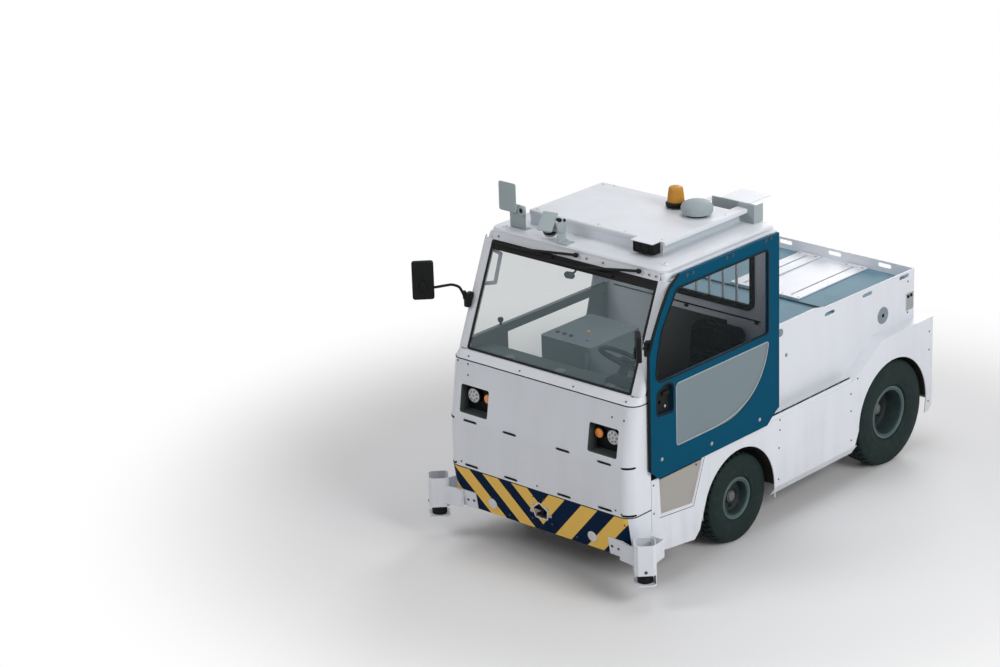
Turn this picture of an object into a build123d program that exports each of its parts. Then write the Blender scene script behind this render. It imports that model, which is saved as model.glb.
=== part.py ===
from build123d import *
import os
from math import cos, radians, sin

os.makedirs("parts", exist_ok=True)

# Frame: front faces -Y, left side is +X, +Z is up, Z 0 is the ground. Millimetres.

# Body and sheet metal
half_width = 683
corner_radius = 67
sheet = 5
joint = 0.3
nose_top_z = 1142
nose_top_y = -1392
nose_joint = 6
nose_top = (nose_top_z, nose_top_y)
nose_knee = (796, nose_top_y - 55)
bumper_top = (497, nose_top_y - 55)
bumper_foot = (246, nose_top_y - 9)
nose_back_y = nose_top_y + 130
cowl_levels = ((nose_top_z + 44, nose_top_y + 40), (nose_top_z + nose_joint, nose_top_y + 2))
tail_y = 1478
skirt_z = 187
sill_z = 672
shoulder_z = 850
ramp_start_y = 642
ramp_end_y = 947

# Wheels
front_axle_y = -425
rear_axle_y = 1062
front_wheel_x = half_width - 118
rear_wheel_x = half_width - 108
front_tyre_radius = 270
front_tyre_width = 160
rear_tyre_radius = 336
rear_tyre_width = 190
front_bead_radius = 112
rear_bead_radius = 150
front_dish_x = -10
rear_dish_x = -58
rim_wall = 5
running_clearance = 0.1

# Steering
kingpin_x = front_wheel_x - 45
kingpin_radius = 15
knuckle_radius = 30
knuckle_half_height = 42
yoke_arm = 24
stub_radius = 20
stub_end_x = front_wheel_x + 20
rear_stub_radius = 28
rear_stub_end_x = rear_wheel_x - 15

# Wheel arches in the side panels
front_arch_y = front_axle_y - 40
front_arch_z = front_tyre_radius
front_arch_gap = 63
front_arch_radius = front_tyre_radius + front_arch_gap
rear_arch_y = rear_axle_y
rear_arch_z = rear_tyre_radius
rear_arch_gap = 19
rear_arch_radius = rear_tyre_radius + rear_arch_gap
arch_liner_depth = 300
arch_liner_wall = 4

# Chassis
rail_x = 275
rail_width = 70
rail_bottom_z = 300
rail_top_z = 420

# Cab
floor_z = 428
deck_z = sill_z - 5
floor_sheet = 8
cab_half_width = half_width - 28
bulkhead_y = cowl_levels[0][1]
riser_y = -850
cab_back_y = -75
pillar_x = half_width - 49
pillar_radius = 22
roof_z = 1800
roof_front_y = -1050
roof_sheet = 24
windscreen_base = (bulkhead_y + 22, cowl_levels[0][0] + joint)
windscreen_top = (roof_front_y - 33, roof_z - pillar_radius)
windscreen_half_width = pillar_x - 28
glass_thickness = 6

# Door
door_inner_x = half_width + 7
door_thickness = 20
door_glass_thickness = 5
door_clearance = 0.3

# Door rail on the ledge
rail_inner_x = half_width - 26
rail_outer_x = half_width - 6
rail_wall = 3
rail_height = 26
rail_front_y = -800
rail_rear_y = ramp_start_y - 2

# Rear box
box_half_width = half_width - 85
box_rear_y = 1392
box_top_z = 1180
box_tail_z = box_top_z - 12
box_wall = 5

left = 1
right = -1
sides = (("left", left), ("right", right))

nodes = {}


def block(x0, x1, y0, y1, z0, z1):
    """A straight block between two corners."""
    centre = Pos((x0 + x1) / 2, (y0 + y1) / 2, (z0 + z1) / 2)
    return centre * Box(abs(x1 - x0), abs(y1 - y0), abs(z1 - z0))


def rod(start, end, radius):
    """A round bar from one point to another."""
    a = Vector(*start)
    b = Vector(*end)
    along = Plane(origin=a, z_dir=b - a)
    align = (Align.CENTER, Align.CENTER, Align.MIN)
    return along * Cylinder(radius, (b - a).length, align=align)


def side_face(points, x=0.0, radius=0.0):
    """A flat face in the side view at x, from (y, z) points, its corners rounded by radius."""
    face = make_face(Polyline(*points, close=True))
    if radius:
        face = fillet(face.vertices(), radius)
    return Plane.YZ.offset(x) * face


def side_slab(points, x0, x1, radius=0.0):
    """A slab with a (y, z) outline between two x places."""
    return extrude(side_face(points, x0, radius), amount=x1 - x0)


def front_slab(points, y0, y1, radius=0.0):
    """A slab with an (x, z) outline between two y places."""
    face = make_face(Polyline(*points, close=True))
    if radius:
        face = fillet(face.vertices(), radius)
    plane = Plane(origin=(0, y0, 0), x_dir=(1, 0, 0), z_dir=(0, -1, 0))
    return extrude(plane * face, amount=y0 - y1)


def slot(length, width):
    """A flat slot outline with round ends."""
    return SlotOverall(length, width)


def mirrored(shape):
    """The same shape on the other side of the centre plane."""
    return mirror(shape, about=Plane.YZ)


def on_side(shape, side):
    """A shape drawn for the left side, put on the side asked for."""
    return shape if side == left else mirrored(shape)


def pair(shape):
    """A shape drawn for the left side, with its twin on the right."""
    return shape + mirrored(shape)


def nose_y(z):
    """The nose's front face at a height, between its four levels."""
    levels = (nose_top, nose_knee, bumper_top, bumper_foot)
    for (z_hi, y_hi), (z_lo, y_lo) in zip(levels, levels[1:]):
        if z_lo <= z <= z_hi:
            return y_lo + (y_hi - y_lo) * (z - z_lo) / (z_hi - z_lo)
    return levels[-1][1]


def nose_block(levels, inset):
    """The rounded front of the body between levels of (z, front y), drawn in by inset."""
    faces = []
    back = nose_back_y + 2 * corner_radius
    for z, y in levels:
        front = y + inset
        width = 2 * (half_width - inset)
        section = RectangleRounded(width, back - front, corner_radius - inset)
        faces.append(Pos(0, (front + back) / 2, z) * section)
    return loft(faces, ruled=True)


def nose_shell(levels):
    """A sheet shell of the nose, open at the back, the top and below."""
    top_z, top_y = levels[0]
    foot_z, foot_y = levels[-1]
    longer = ((top_z + 20, top_y),) + tuple(levels) + ((foot_z - 20, foot_y),)
    shell = nose_block(levels, 0) - nose_block(longer, sheet)
    keep = block(-half_width, half_width, 2 * top_y, nose_back_y, 0, 2 * top_z)
    return shell & keep


def front_cutter(outline, x, z, depth=60):
    """A cutter through the nose's front face, from an outline drawn about its centre."""
    plane = Plane(origin=(x, nose_y(z) - 20, z), x_dir=(1, 0, 0), z_dir=(0, -1, 0))
    return extrude(plane * outline, amount=-depth)


# Nose panel with its lamp recesses and its slots
lamp_recess_x = half_width - 202
lamp_recess_z = 921
lamp_recess_width = 212
lamp_recess_height = 166
lamp_recess_corner = 14
lamp_recess_back_y = bulkhead_y
vent_slot_rows = (796, 520)
vent_slot_places = (-502, -200, 200, 502)
vent_slot_size = (94, 12)
lamp_wall = 4

nose = nose_shell((nose_top, nose_knee, (bumper_top[0] + nose_joint, bumper_top[1])))
recess_outline = RectangleRounded(lamp_recess_width, lamp_recess_height, lamp_recess_corner)
pocket_outline = RectangleRounded(
    lamp_recess_width + 2 * lamp_wall, lamp_recess_height + 2 * lamp_wall, lamp_recess_corner + lamp_wall
)
for side in (left, right):
    x = side * lamp_recess_x
    plane = Plane(origin=(x, lamp_recess_back_y, lamp_recess_z), x_dir=(1, 0, 0), z_dir=(0, -1, 0))
    reach = lamp_recess_back_y - nose_y(lamp_recess_z - lamp_recess_height / 2)
    pocket = extrude(plane * pocket_outline, amount=reach)
    pocket &= nose_block((nose_top, nose_knee, bumper_top), 0)
    hollow = Pos(0, -lamp_wall, 0) * extrude(plane * recess_outline, amount=reach + 40)
    nose = nose + pocket - hollow
for z in vent_slot_rows:
    for x in vent_slot_places:
        nose -= front_cutter(slot(*vent_slot_size), x, z)
nodes["nose_panel"] = nose

# Bumper panel with the tow opening in its middle
tow_opening = ((-52, 378), (0, 418), (52, 378), (40, 322), (-40, 322))
bumper = nose_shell((bumper_top, bumper_foot))
bumper -= front_slab(tow_opening, bumper_top[1] - 20, bumper_foot[1] + 20)
lip_width = 26
lip_x = half_width - 123
lip_y = (bumper_foot[1], bumper_foot[1] + lip_width)
lower_lip = block(-lip_x, lip_x, *lip_y, bumper_foot[0] - 6, bumper_foot[0])
nodes["bumper_panel"] = bumper + lower_lip

# Front tow jaw: two plates on a block, with its pin
jaw_half_width = 42
jaw_back_y = bulkhead_y + 17
jaw_root_y = jaw_back_y - 25
tow_pin_y = jaw_root_y - 40
jaw_front_y = tow_pin_y - 18
jaw_plate = 12
jaw_gap = (344, 388)
tow_pin_radius = 12
jaw_low_z = jaw_gap[0] - jaw_plate
jaw_high_z = jaw_gap[1] + jaw_plate
jaw = block(-jaw_half_width, jaw_half_width, jaw_root_y, jaw_back_y, jaw_low_z, jaw_high_z)
for z in (jaw_low_z, jaw_gap[1]):
    jaw += block(-jaw_half_width + 8, jaw_half_width - 8, jaw_front_y, jaw_root_y, z, z + jaw_plate)
jaw += rod((0, tow_pin_y, jaw_gap[0] - 20), (0, tow_pin_y, jaw_gap[1] + 26), tow_pin_radius)
nodes["front_tow_jaw"] = jaw

# Cowl: the painted rim under the windscreen
flange_half = pillar_x - pillar_radius - joint
cowl_top_z = cowl_levels[0][0]
flange_ends = (bulkhead_y + 4, bulkhead_y + 36)
flange = block(-flange_half, flange_half, *flange_ends, cowl_top_z - sheet, cowl_top_z)
nodes["cowl"] = nose_shell(cowl_levels) + flange

# Side panels with arches, an entry notch, a door ledge and arch liners
step_notch = ((-1192, sill_z), (-1179, 447), (-903, 418), (-805, sill_z))


skirt_bend_z = skirt_z + 61
skirt_inset = 42
skirt_ends = (front_arch_y + front_arch_radius + 12, rear_arch_y - rear_arch_radius - 17)
skirt_profile = (
    (half_width, skirt_bend_z),
    (half_width - skirt_inset, skirt_z),
    (half_width - skirt_inset - sheet, skirt_z),
    (half_width - sheet, skirt_bend_z),
)


def side_panel():
    """The left side panel: a plate with both arches, its ledges and its arch liners."""
    arch_start = (front_arch_y - 303, front_arch_z + 138)
    outline = [
        Line((nose_back_y + 3, 232), (-880, 185)),
        Line((-880, 185), (-833, 230)),
        Line((-833, 230), arch_start),
        ThreePointArc(
            arch_start,
            (front_arch_y, front_arch_z + front_arch_radius),
            (front_arch_y + front_arch_radius, front_arch_z),
        ),
        Polyline(
            (front_arch_y + front_arch_radius, front_arch_z),
            (front_arch_y + front_arch_radius, skirt_z),
            (rail_rear_y, skirt_z),
            (rear_arch_y - rear_arch_radius, rear_arch_z),
        ),
        ThreePointArc(
            (rear_arch_y - rear_arch_radius, rear_arch_z),
            (rear_arch_y, rear_arch_z + rear_arch_radius),
            (rear_arch_y + rear_arch_radius, rear_arch_z),
        ),
        Polyline(
            (rear_arch_y + rear_arch_radius, rear_arch_z),
            (1402, 232),
            (1440, 232),
            (tail_y, 270),
            (tail_y, shoulder_z),
            (ramp_end_y, shoulder_z),
            (ramp_start_y, sill_z),
            *reversed(step_notch),
            (nose_back_y + 3, sill_z),
            (nose_back_y + 3, 232),
        ),
    ]
    face = Plane.YZ.offset(half_width - sheet) * make_face(outline)
    plate = extrude(face, amount=sheet)
    inner = half_width - sheet
    low_z = sill_z - sheet
    high_z = shoulder_z - sheet
    ledge = block(box_half_width, inner, cab_back_y, ramp_start_y, low_z, sill_z)
    ledge += block(half_width - 43, inner, rail_front_y, cab_back_y, low_z, sill_z)
    ramp_profile = (
        (ramp_start_y, low_z),
        (ramp_start_y, sill_z),
        (ramp_end_y, shoulder_z),
        (ramp_end_y, high_z),
    )
    ramp = side_slab(ramp_profile, box_half_width, inner)
    top = block(box_half_width, inner, ramp_end_y, tail_y, high_z, shoulder_z)
    bend = block(inner - skirt_inset - 10, half_width, skirt_ends[0] - 5, skirt_ends[1] + 5, 0, skirt_bend_z)
    skirt = front_slab(skirt_profile, *skirt_ends)
    panel = plate - bend + skirt + ledge + ramp + top
    panel += arch_liner(front_arch_y, front_arch_z, front_arch_radius, deck_z - floor_sheet)
    return panel + arch_liner(rear_arch_y, rear_arch_z, rear_arch_radius, high_z)


def arch_liner(y, z, radius, limit_z):
    """A half-round liner over a wheel, from the panel inwards."""
    inner = half_width - sheet
    start = inner - arch_liner_depth
    along = Plane(origin=(start, y, z), x_dir=(0, 1, 0), z_dir=(1, 0, 0))
    ring = along * extrude(Circle(radius + arch_liner_wall) - Circle(radius), amount=arch_liner_depth)
    keep = block(start, inner, y - radius - 20, y + radius + 20, z, limit_z)
    return ring & keep


for name, side in sides:
    nodes[f"side_panel_{name}"] = on_side(side_panel(), side)

# Step panels set back in the entry notches
step_back_x = (half_width - 11, half_width - sheet - joint)
step_outline = ((-1200, sill_z - 20), (-1186, 440), (-896, 410), (-800, sill_z - 20))
nodes["step_panels"] = pair(side_slab(step_outline, *step_back_x))

# Door rail: a channel on the left ledge
channel = block(rail_inner_x, rail_outer_x, rail_front_y, rail_rear_y, sill_z, sill_z + rail_height)
channel -= block(
    rail_inner_x + rail_wall, rail_outer_x - rail_wall, rail_front_y, rail_rear_y,
    sill_z + rail_wall, sill_z + rail_height,
)
nodes["door_rail"] = channel

# Chassis: two rails, cross members and outriggers
rail_start_y = bulkhead_y + 17
rail_end_y = tail_y - 52
rail_x0 = rail_x - rail_width / 2
rail_x1 = rail_x + rail_width / 2
chassis = block(rail_x0, rail_x1, rail_start_y, rail_end_y, rail_bottom_z, rail_top_z)
chassis -= block(rail_x0 + 8, rail_x1 - 8, rail_start_y, rail_end_y - 16, rail_bottom_z + 8, rail_top_z - 8)
chassis = pair(chassis)
outer_member = half_width - 83
inner_member = rail_x0
cross_members = (
    # half length, y centre, depth, bottom z
    (outer_member, rail_start_y + 30, 60, 320),
    (inner_member, -850, 60, 340),
    (inner_member, -20, 60, 340),
    (inner_member, 640, 60, 340),
    (outer_member, rail_end_y + 21, 46, 300),
)
for half_length, y, depth, z in cross_members:
    chassis += block(-half_length, half_length, y - depth / 2, y + depth / 2, z, rail_top_z)
outriggers = (
    # y centre, outer x
    (-1000, step_back_x[0] - joint),
    (0, half_width - sheet),
    (520, half_width - sheet),
)
for y, outer_x in outriggers:
    chassis += pair(block(rail_x1, outer_x, y - 25, y + 25, 350, rail_top_z))
axle_notch_half = 70
axle_notch_top_z = 400
hump_half = 140
hump_top_z = 480
hump_ends = (rear_axle_y - hump_half, rear_axle_y + hump_half)
chassis += pair(block(rail_x0, rail_x1, *hump_ends, rail_top_z, hump_top_z))
notch_ends = (rear_axle_y - axle_notch_half, rear_axle_y + axle_notch_half)
chassis -= block(-outer_member, outer_member, *notch_ends, 0, axle_notch_top_z)
bumper_stay = block(rail_x - 30, rail_x + 30, bumper_top[1], rail_start_y, 330, 400)
chassis += pair(bumper_stay & nose_block((bumper_top, bumper_foot), sheet))
nodes["chassis_frame"] = chassis

# Battery block between and above the rails
battery_half_width = 378
nodes["battery_block"] = block(-battery_half_width, battery_half_width, -70, 610, rail_top_z, 640)

# Cab floor: footwell, riser, deck and front bulkhead as one folded sheet
bulkhead_top_z = cowl_top_z - sheet
floor_profile = (
    (bulkhead_y, bulkhead_top_z),
    (bulkhead_y, floor_z - floor_sheet),
    (riser_y, floor_z - floor_sheet),
    (riser_y, deck_z - floor_sheet),
    (cab_back_y, deck_z - floor_sheet),
    (cab_back_y, deck_z),
    (riser_y - floor_sheet, deck_z),
    (riser_y - floor_sheet, floor_z),
    (bulkhead_y + floor_sheet, floor_z),
    (bulkhead_y + floor_sheet, bulkhead_top_z),
)
corner_z = nose_top_z - 4
corner_ends = (bulkhead_y, bulkhead_y + floor_sheet)
bulkhead_corner = block(flange_half, cab_half_width, *corner_ends, corner_z, bulkhead_top_z)
cab_floor = side_slab(floor_profile, -cab_half_width, cab_half_width) - pair(bulkhead_corner)

# Cab frame: posts, screen pillars, roof tubes, the right side bar and the right grab handle
frame_post_y = bulkhead_y + 34
frame_knee_z = cowl_top_z - 26
back_post_y = cab_back_y - 5
screen_lean = (windscreen_top[0] - windscreen_base[0]) / (windscreen_top[1] - windscreen_base[1])


def screen_y(z, off):
    """The windscreen's outer face at a height, stood off to the front."""
    return windscreen_base[0] + (z - windscreen_base[1]) * screen_lean - off


def cab_side_frame():
    """The left side of the cab frame, with rounded joints between its tubes."""
    foot = (pillar_x, frame_post_y, floor_z)
    knee = (pillar_x, frame_post_y, frame_knee_z)
    top = (pillar_x, roof_front_y, roof_z)
    back = (pillar_x, back_post_y, roof_z)
    frame = rod(foot, knee, pillar_radius) + rod(knee, top, pillar_radius)
    frame += rod(top, back, pillar_radius)
    frame += rod((pillar_x, back_post_y, sill_z), back, pillar_radius)
    for place in (knee, top, back):
        frame += Pos(*place) * Sphere(pillar_radius)
    return frame


cab_frame = pair(cab_side_frame())
for y in (roof_front_y, back_post_y):
    cab_frame += rod((-pillar_x, y, roof_z), (pillar_x, y, roof_z), pillar_radius)
guide_roller_places = (-360, -165)
guide_roller_x = door_inner_x - 13
guide_roller_radius = 9
guide_arm_z = (roof_z - 38, roof_z - 32)
guide_roller_z = (roof_z - 12, roof_z + 5)
guide_channel_z = (roof_z - 10, roof_z + 11)
guide_channel_x = (guide_roller_x - 13, door_inner_x)


def guide_roller(y):
    """A roller under the left roof tube, in the channel of the door's top edge."""
    arm = block(pillar_x, guide_roller_x + 5, y - 12, y + 12, *guide_arm_z)
    arm += block(pillar_x, pillar_x + 12, y - 12, y + 12, guide_arm_z[0], roof_z - 15)
    arm += rod((guide_roller_x, y, guide_arm_z[1]), (guide_roller_x, y, guide_roller_z[0]), 4)
    roller_ends = [(guide_roller_x, y, z) for z in guide_roller_z]
    return arm + rod(*roller_ends, guide_roller_radius)


for y in guide_roller_places:
    cab_frame += guide_roller(y)
side_bar_half = 14
side_bar_z = (frame_knee_z + 22, frame_knee_z + 74)
side_plate_half = 3
side_bar_x = (-pillar_x - side_bar_half, -pillar_x + side_bar_half)
cab_frame += block(*side_bar_x, frame_post_y + 18, back_post_y, *side_bar_z)
side_plate_ends = (frame_post_y + 8, frame_post_y + 358)
cab_frame += block(-pillar_x - side_plate_half, -pillar_x + side_plate_half, *side_plate_ends,
                   frame_knee_z - 120, side_bar_z[1])
quarter_outline = (
    (back_post_y, roof_z),
    (-185, roof_z),
    (-185, 1324),
    (-213, 1216),
    (-254, 1078),
    (-327, 1022),
    (-340, 980),
    (-340, sill_z),
    (back_post_y, sill_z),
)
cab_frame += side_slab(quarter_outline, -pillar_x - side_plate_half, -pillar_x + side_plate_half)
grab_table = (
    # x from the pillar, depth below the roof, distance behind the screen's face
    (12, 80, 23),
    (74, 100, 40),
    (74, 260, 52),
    (12, 270, 24),
)
grab_points = [(across - pillar_x, screen_y(roof_z - drop, -behind), roof_z - drop)
               for across, drop, behind in grab_table]
for start, end in zip(grab_points, grab_points[1:]):
    cab_frame += rod(start, end, 11) + Pos(*end) * Sphere(11)
nodes["cab_frame"] = cab_frame

# Windscreen
screen_profile = (
    windscreen_base,
    windscreen_top,
    (windscreen_top[0] + glass_thickness, windscreen_top[1]),
    (windscreen_base[0] + glass_thickness, windscreen_base[1]),
)
nodes["windscreen"] = side_slab(screen_profile, -windscreen_half_width, windscreen_half_width)

# Header over the windscreen
header_foot_z = windscreen_top[1] + 4
header_top_z = roof_z + pillar_radius - joint
header_back_y = roof_front_y - pillar_radius
header_profile = (
    (windscreen_top[0] - 4, header_foot_z),
    (windscreen_top[0] + 8, header_top_z),
    (header_back_y, header_top_z),
    (header_back_y, header_foot_z),
)
header_half_width = flange_half
nodes["header_panel"] = side_slab(header_profile, -header_half_width, header_half_width)

# Wipers hang from the header, blades along the glass's top edge
wiper_table = (
    # pivot x, blade start x, blade end x, blade depth below the roof
    (27, -600, -150, 36),
    (482, -165, 300, 52),
)
pivot_z = roof_z + 6


def wiper(pivot_x, start_x, end_x, drop):
    """A wiper: its boss on the header, its arm and its blade along the glass."""
    blade_z = roof_z - drop
    boss = rod((pivot_x, screen_y(pivot_z, 30), pivot_z), (pivot_x, header_profile[1][0], pivot_z), 13)
    boss -= nodes["header_panel"]
    middle_x = (start_x + end_x) / 2
    arm = rod((pivot_x, screen_y(pivot_z, 24), pivot_z), (middle_x, screen_y(blade_z, 24), blade_z), 6)
    blade_y = screen_y(blade_z, 20)
    return boss + arm + rod((start_x, blade_y, blade_z), (end_x, blade_y, blade_z), 7)


nodes["wipers"] = wiper(*wiper_table[0]) + wiper(*wiper_table[1])

# Cab rear wall with its window, and bars across the glass
back_wall_y = (cab_back_y - 8, cab_back_y - 3)
rear_window_size = (960, 400)
rear_window_corner = 40
rear_window_z = roof_z - 290
bar_places = (-360, -260, -160, -60, 60, 160, 260, 360)
bar_radius = 8
bar_y = back_wall_y[1] + bar_radius + 1
bar_ends = (rear_window_z - 220, rear_window_z + 220)
wall = block(-header_half_width, header_half_width, *back_wall_y, deck_z, roof_z - pillar_radius - joint)
window = Plane(origin=(0, back_wall_y[1] + 10, rear_window_z), x_dir=(1, 0, 0), z_dir=(0, -1, 0))
wall -= extrude(window * RectangleRounded(*rear_window_size, rear_window_corner), amount=30)
for x in bar_places:
    wall += rod((x, bar_y, bar_ends[0]), (x, bar_y, bar_ends[1]), bar_radius)
for z in bar_ends:
    wall += block(-500, 500, back_wall_y[1], bar_y + 6, z - 9, z + 9)
nodes["cab_rear_wall"] = wall
glass = Plane(origin=(0, back_wall_y[1] - 1, rear_window_z), x_dir=(1, 0, 0), z_dir=(0, -1, 0))
glass_outline = RectangleRounded(*(size - 0.4 for size in rear_window_size), rear_window_corner)
nodes["rear_window"] = extrude(glass * glass_outline, amount=3)

# Roof shell, sheet tray on its walls, beacon and antenna dome
roof_bottom_z = roof_z + pillar_radius
roof_top_z = roof_bottom_z + roof_sheet
roof_outline = RectangleRounded(2 * (pillar_x + 11), 1020, 60)
roof = Pos(0, roof_front_y + 485, roof_bottom_z) * extrude(roof_outline, amount=roof_sheet)
roof = chamfer(roof.faces().sort_by(Axis.Z)[-1].edges(), 10)
nodes["roof_shell"] = roof

tray_x = 490
tray_joint_x = 190
tray_front_y = -890
tray_rear_y = -250
tray_wing_y = -60
tray_z = roof_top_z + 84
tray_sheet = 4
tray_lip = 16
tray_channel = 50
tray_hole = (230, 425, -215, -100)
tray_top_z = (tray_z - tray_sheet, tray_z)
tray_wall_z = (roof_top_z, tray_z)
tray = block(-tray_x, tray_joint_x, tray_front_y, tray_rear_y, *tray_top_z)
tray += block(tray_joint_x, tray_x, tray_front_y, tray_wing_y, *tray_top_z)
tray -= block(*tray_hole, *tray_top_z)
tray += block(-tray_x, tray_x, tray_front_y, tray_front_y + tray_sheet, *tray_wall_z)
tray += block(-tray_x, -tray_x + tray_sheet, tray_front_y, tray_rear_y, *tray_wall_z)
tray += block(-tray_x, tray_joint_x, tray_rear_y - tray_sheet, tray_rear_y, *tray_wall_z)
channel_x = tray_x - tray_channel
channel_rear_y = tray_wing_y - 40
tray += block(channel_x - tray_sheet, channel_x, tray_front_y + 30, channel_rear_y, *tray_wall_z)
tray += block(channel_x - tray_sheet, tray_x, channel_rear_y - tray_sheet, channel_rear_y, *tray_wall_z)
tray += block(tray_x - tray_sheet, tray_x, tray_front_y, tray_wing_y, tray_z - tray_lip, tray_z)

# A raised wing at the tray's rear, and the hood over the camera box in front
wing_x = (295, 502)
wing_ends = (-128, 68)
wing_z = tray_z + 28
tray += block(*wing_x, *wing_ends, wing_z - tray_sheet, wing_z)
tray += block(*wing_x, wing_ends[0], wing_ends[0] + tray_sheet, tray_z - tray_sheet, wing_z)
camera_x = (320, 460)
camera_ends = (tray_front_y - 60, tray_front_y)
tray += block(camera_x[0] - 10, camera_x[1] + 8, camera_ends[0] - 10, tray_front_y, *tray_top_z)
nodes["roof_tray"] = tray

beacon_place = (152, -360)
beacon = Pos(*beacon_place, tray_z) * extrude(Circle(52), amount=26)
lens = Pos(*beacon_place, tray_z + 26) * extrude(Circle(48), amount=92, taper=6)
nodes["beacon"] = beacon + lens
antenna_place = (337, -400)
dome_radius = 86
dome_profile = (
    (0, 0), (48, 0), (52, 14), (74, 20), (dome_radius, 42), (84, 60), (66, 76), (36, 84), (0, 86),
)
dome_face = make_face(Polyline(*((r, 0, h) for r, h in dome_profile), close=True))
nodes["antenna_dome"] = Pos(*antenna_place, tray_z) * revolve(dome_face, Axis.Z)

# Roof sensors: two scanners behind visor plates, each on a bracket, and a camera box under the tray's hood
bracket_top_z = roof_top_z + 145
bracket_foot_z = (roof_top_z, roof_top_z + sheet)
upright_x = (-545, -425)
upright_y = -1004
upright_z = roof_top_z + 116
visor_x = (-604, -476)
visor_z = (roof_top_z + 128, roof_top_z + 272)
upright = block(*upright_x, upright_y, upright_y + 4, roof_top_z, bracket_top_z)
upright += block(*upright_x, upright_y, upright_y + 44, *bracket_foot_z)
upright += rod((-450, upright_y, upright_z), (-450, upright_y - 50, upright_z), 32)
visor = block(*visor_x, upright_y - 24, upright_y - 18, *visor_z)
visor = fillet(visor.edges().filter_by(Axis.Y), 14)
upright += visor + block(-530, visor_x[1], upright_y - 20, upright_y, upright_z - 2, upright_z + 26)
tilt_centre = (-200, -1040, roof_top_z + 56)
tilt = Pos(*tilt_centre) * Rot(32, -20, 0)
tilted = block(-132, -128, -1070, -1000, roof_top_z, bracket_top_z)
tilted += block(-160, -60, -1070, -1000, *bracket_foot_z)
tilted += tilt * Cylinder(42, 64)
tilted += tilt * (Pos(-4, -16, 62) * Box(140, 125, 5))
tilted += rod(tilt_centre, (-130, -1040, tilt_centre[2]), 18)
tilted += tilt * (Pos(0, 0, 46) * Cylinder(14, 34))
camera = block(*camera_x, *camera_ends, roof_top_z + 12, tray_z - tray_sheet)
nodes["roof_sensors"] = upright + tilted + camera

# Dash, console cabinet, seat and steering column
dash_profile = (
    (bulkhead_y + floor_sheet, nose_top_z - 182),
    (bulkhead_y + floor_sheet, corner_z),
    (bulkhead_y + 52, nose_top_z + 32),
    (bulkhead_y + 222, nose_top_z + 18),
    (bulkhead_y + 234, nose_top_z - 42),
    (bulkhead_y + 172, nose_top_z - 152),
)
dash_half_width = cab_half_width - 50
nodes["dash"] = side_slab(dash_profile, -dash_half_width, dash_half_width)
console = block(-395, -12, -945, -500, deck_z, 1205)
console = fillet(console.edges().filter_by(Axis.Z), 18)
nodes["console_cabinet"] = console
seat_base_z = deck_z + 123
nodes["cab_floor"] = cab_floor + block(130, 470, -650, -185, deck_z, seat_base_z)
seat_foot_z = seat_base_z + joint
nodes["seat_cushion"] = block(80, 520, -700, -268, seat_foot_z, seat_base_z + 110)
seat_back_z = seat_base_z + 610
seat_back_profile = ((-264, seat_foot_z), (-200, seat_back_z), (-120, seat_back_z), (-188, seat_foot_z))
nodes["seat_back"] = side_slab(seat_back_profile, 85, 515)
wheel_axis = Vector(0, 0.64, 0.77)
wheel_ring_radius = 170
wheel_centre = Vector(300, bulkhead_y + 367, nose_top_z + 73)
column_foot = wheel_centre - wheel_axis * 190
column_top = wheel_centre - wheel_axis * 40
nodes["steering_column"] = rod(tuple(column_foot), tuple(column_top), 28) - nodes["dash"]
wheel_plane = Plane(origin=wheel_centre, x_dir=(1, 0, 0), z_dir=wheel_axis)
hub_plane = Plane(origin=column_top + wheel_axis * joint, x_dir=(1, 0, 0), z_dir=wheel_axis)
steering_wheel = wheel_plane * Torus(wheel_ring_radius, 13)
steering_wheel += hub_plane * extrude(Circle(30), amount=50)
for angle in (90, 210, 330):
    spoke = (wheel_ring_radius * cos(radians(angle)), wheel_ring_radius * sin(radians(angle)), 0)
    tip = wheel_plane.from_local_coords(spoke)
    steering_wheel += rod(tuple(wheel_centre), tuple(tip), 10)
nodes["steering_wheel"] = steering_wheel

# Rear box walls with their slots, and the deck inside
wall_slots = ((520, box_top_z - 52), (900, box_top_z - 45), (1285, box_top_z - 40))
slot_size = (100, 26)
front_rise = 22
port_place = (1062, box_top_z - 225)
port_radius = 40
box_wall_profile = (
    (cab_back_y, sill_z),
    (cab_back_y, box_top_z + front_rise),
    (360, box_top_z + front_rise),
    (480, box_top_z),
    (box_rear_y, box_tail_z),
    (box_rear_y, shoulder_z),
    (ramp_end_y, shoulder_z),
    (ramp_start_y, sill_z),
)


def box_side_wall():
    """The left wall of the rear box with its slots and its round port."""
    inner = box_half_width - box_wall
    side_wall = side_slab(box_wall_profile, inner, box_half_width)
    for y, z in wall_slots:
        cut = Plane(origin=(inner - 5, y, z), x_dir=(0, 1, 0), z_dir=(1, 0, 0)) * SlotOverall(*slot_size)
        side_wall -= extrude(cut, amount=20)
    port = Plane(origin=(inner - 5, *port_place), x_dir=(0, 1, 0), z_dir=(1, 0, 0)) * Circle(port_radius)
    return side_wall - extrude(port, amount=20)


rear_box = pair(box_side_wall())
rear_wall_y = (box_rear_y - box_wall, box_rear_y)
rear_wall = block(-box_half_width, box_half_width, *rear_wall_y, shoulder_z, box_tail_z)
for x in (-380, 0, 380):
    cut = Plane(origin=(x, box_rear_y + 5, box_top_z - 40), x_dir=(1, 0, 0), z_dir=(0, -1, 0))
    rear_wall -= extrude(cut * SlotOverall(*slot_size), amount=20)
nodes["rear_box"] = rear_box + rear_wall

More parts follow.
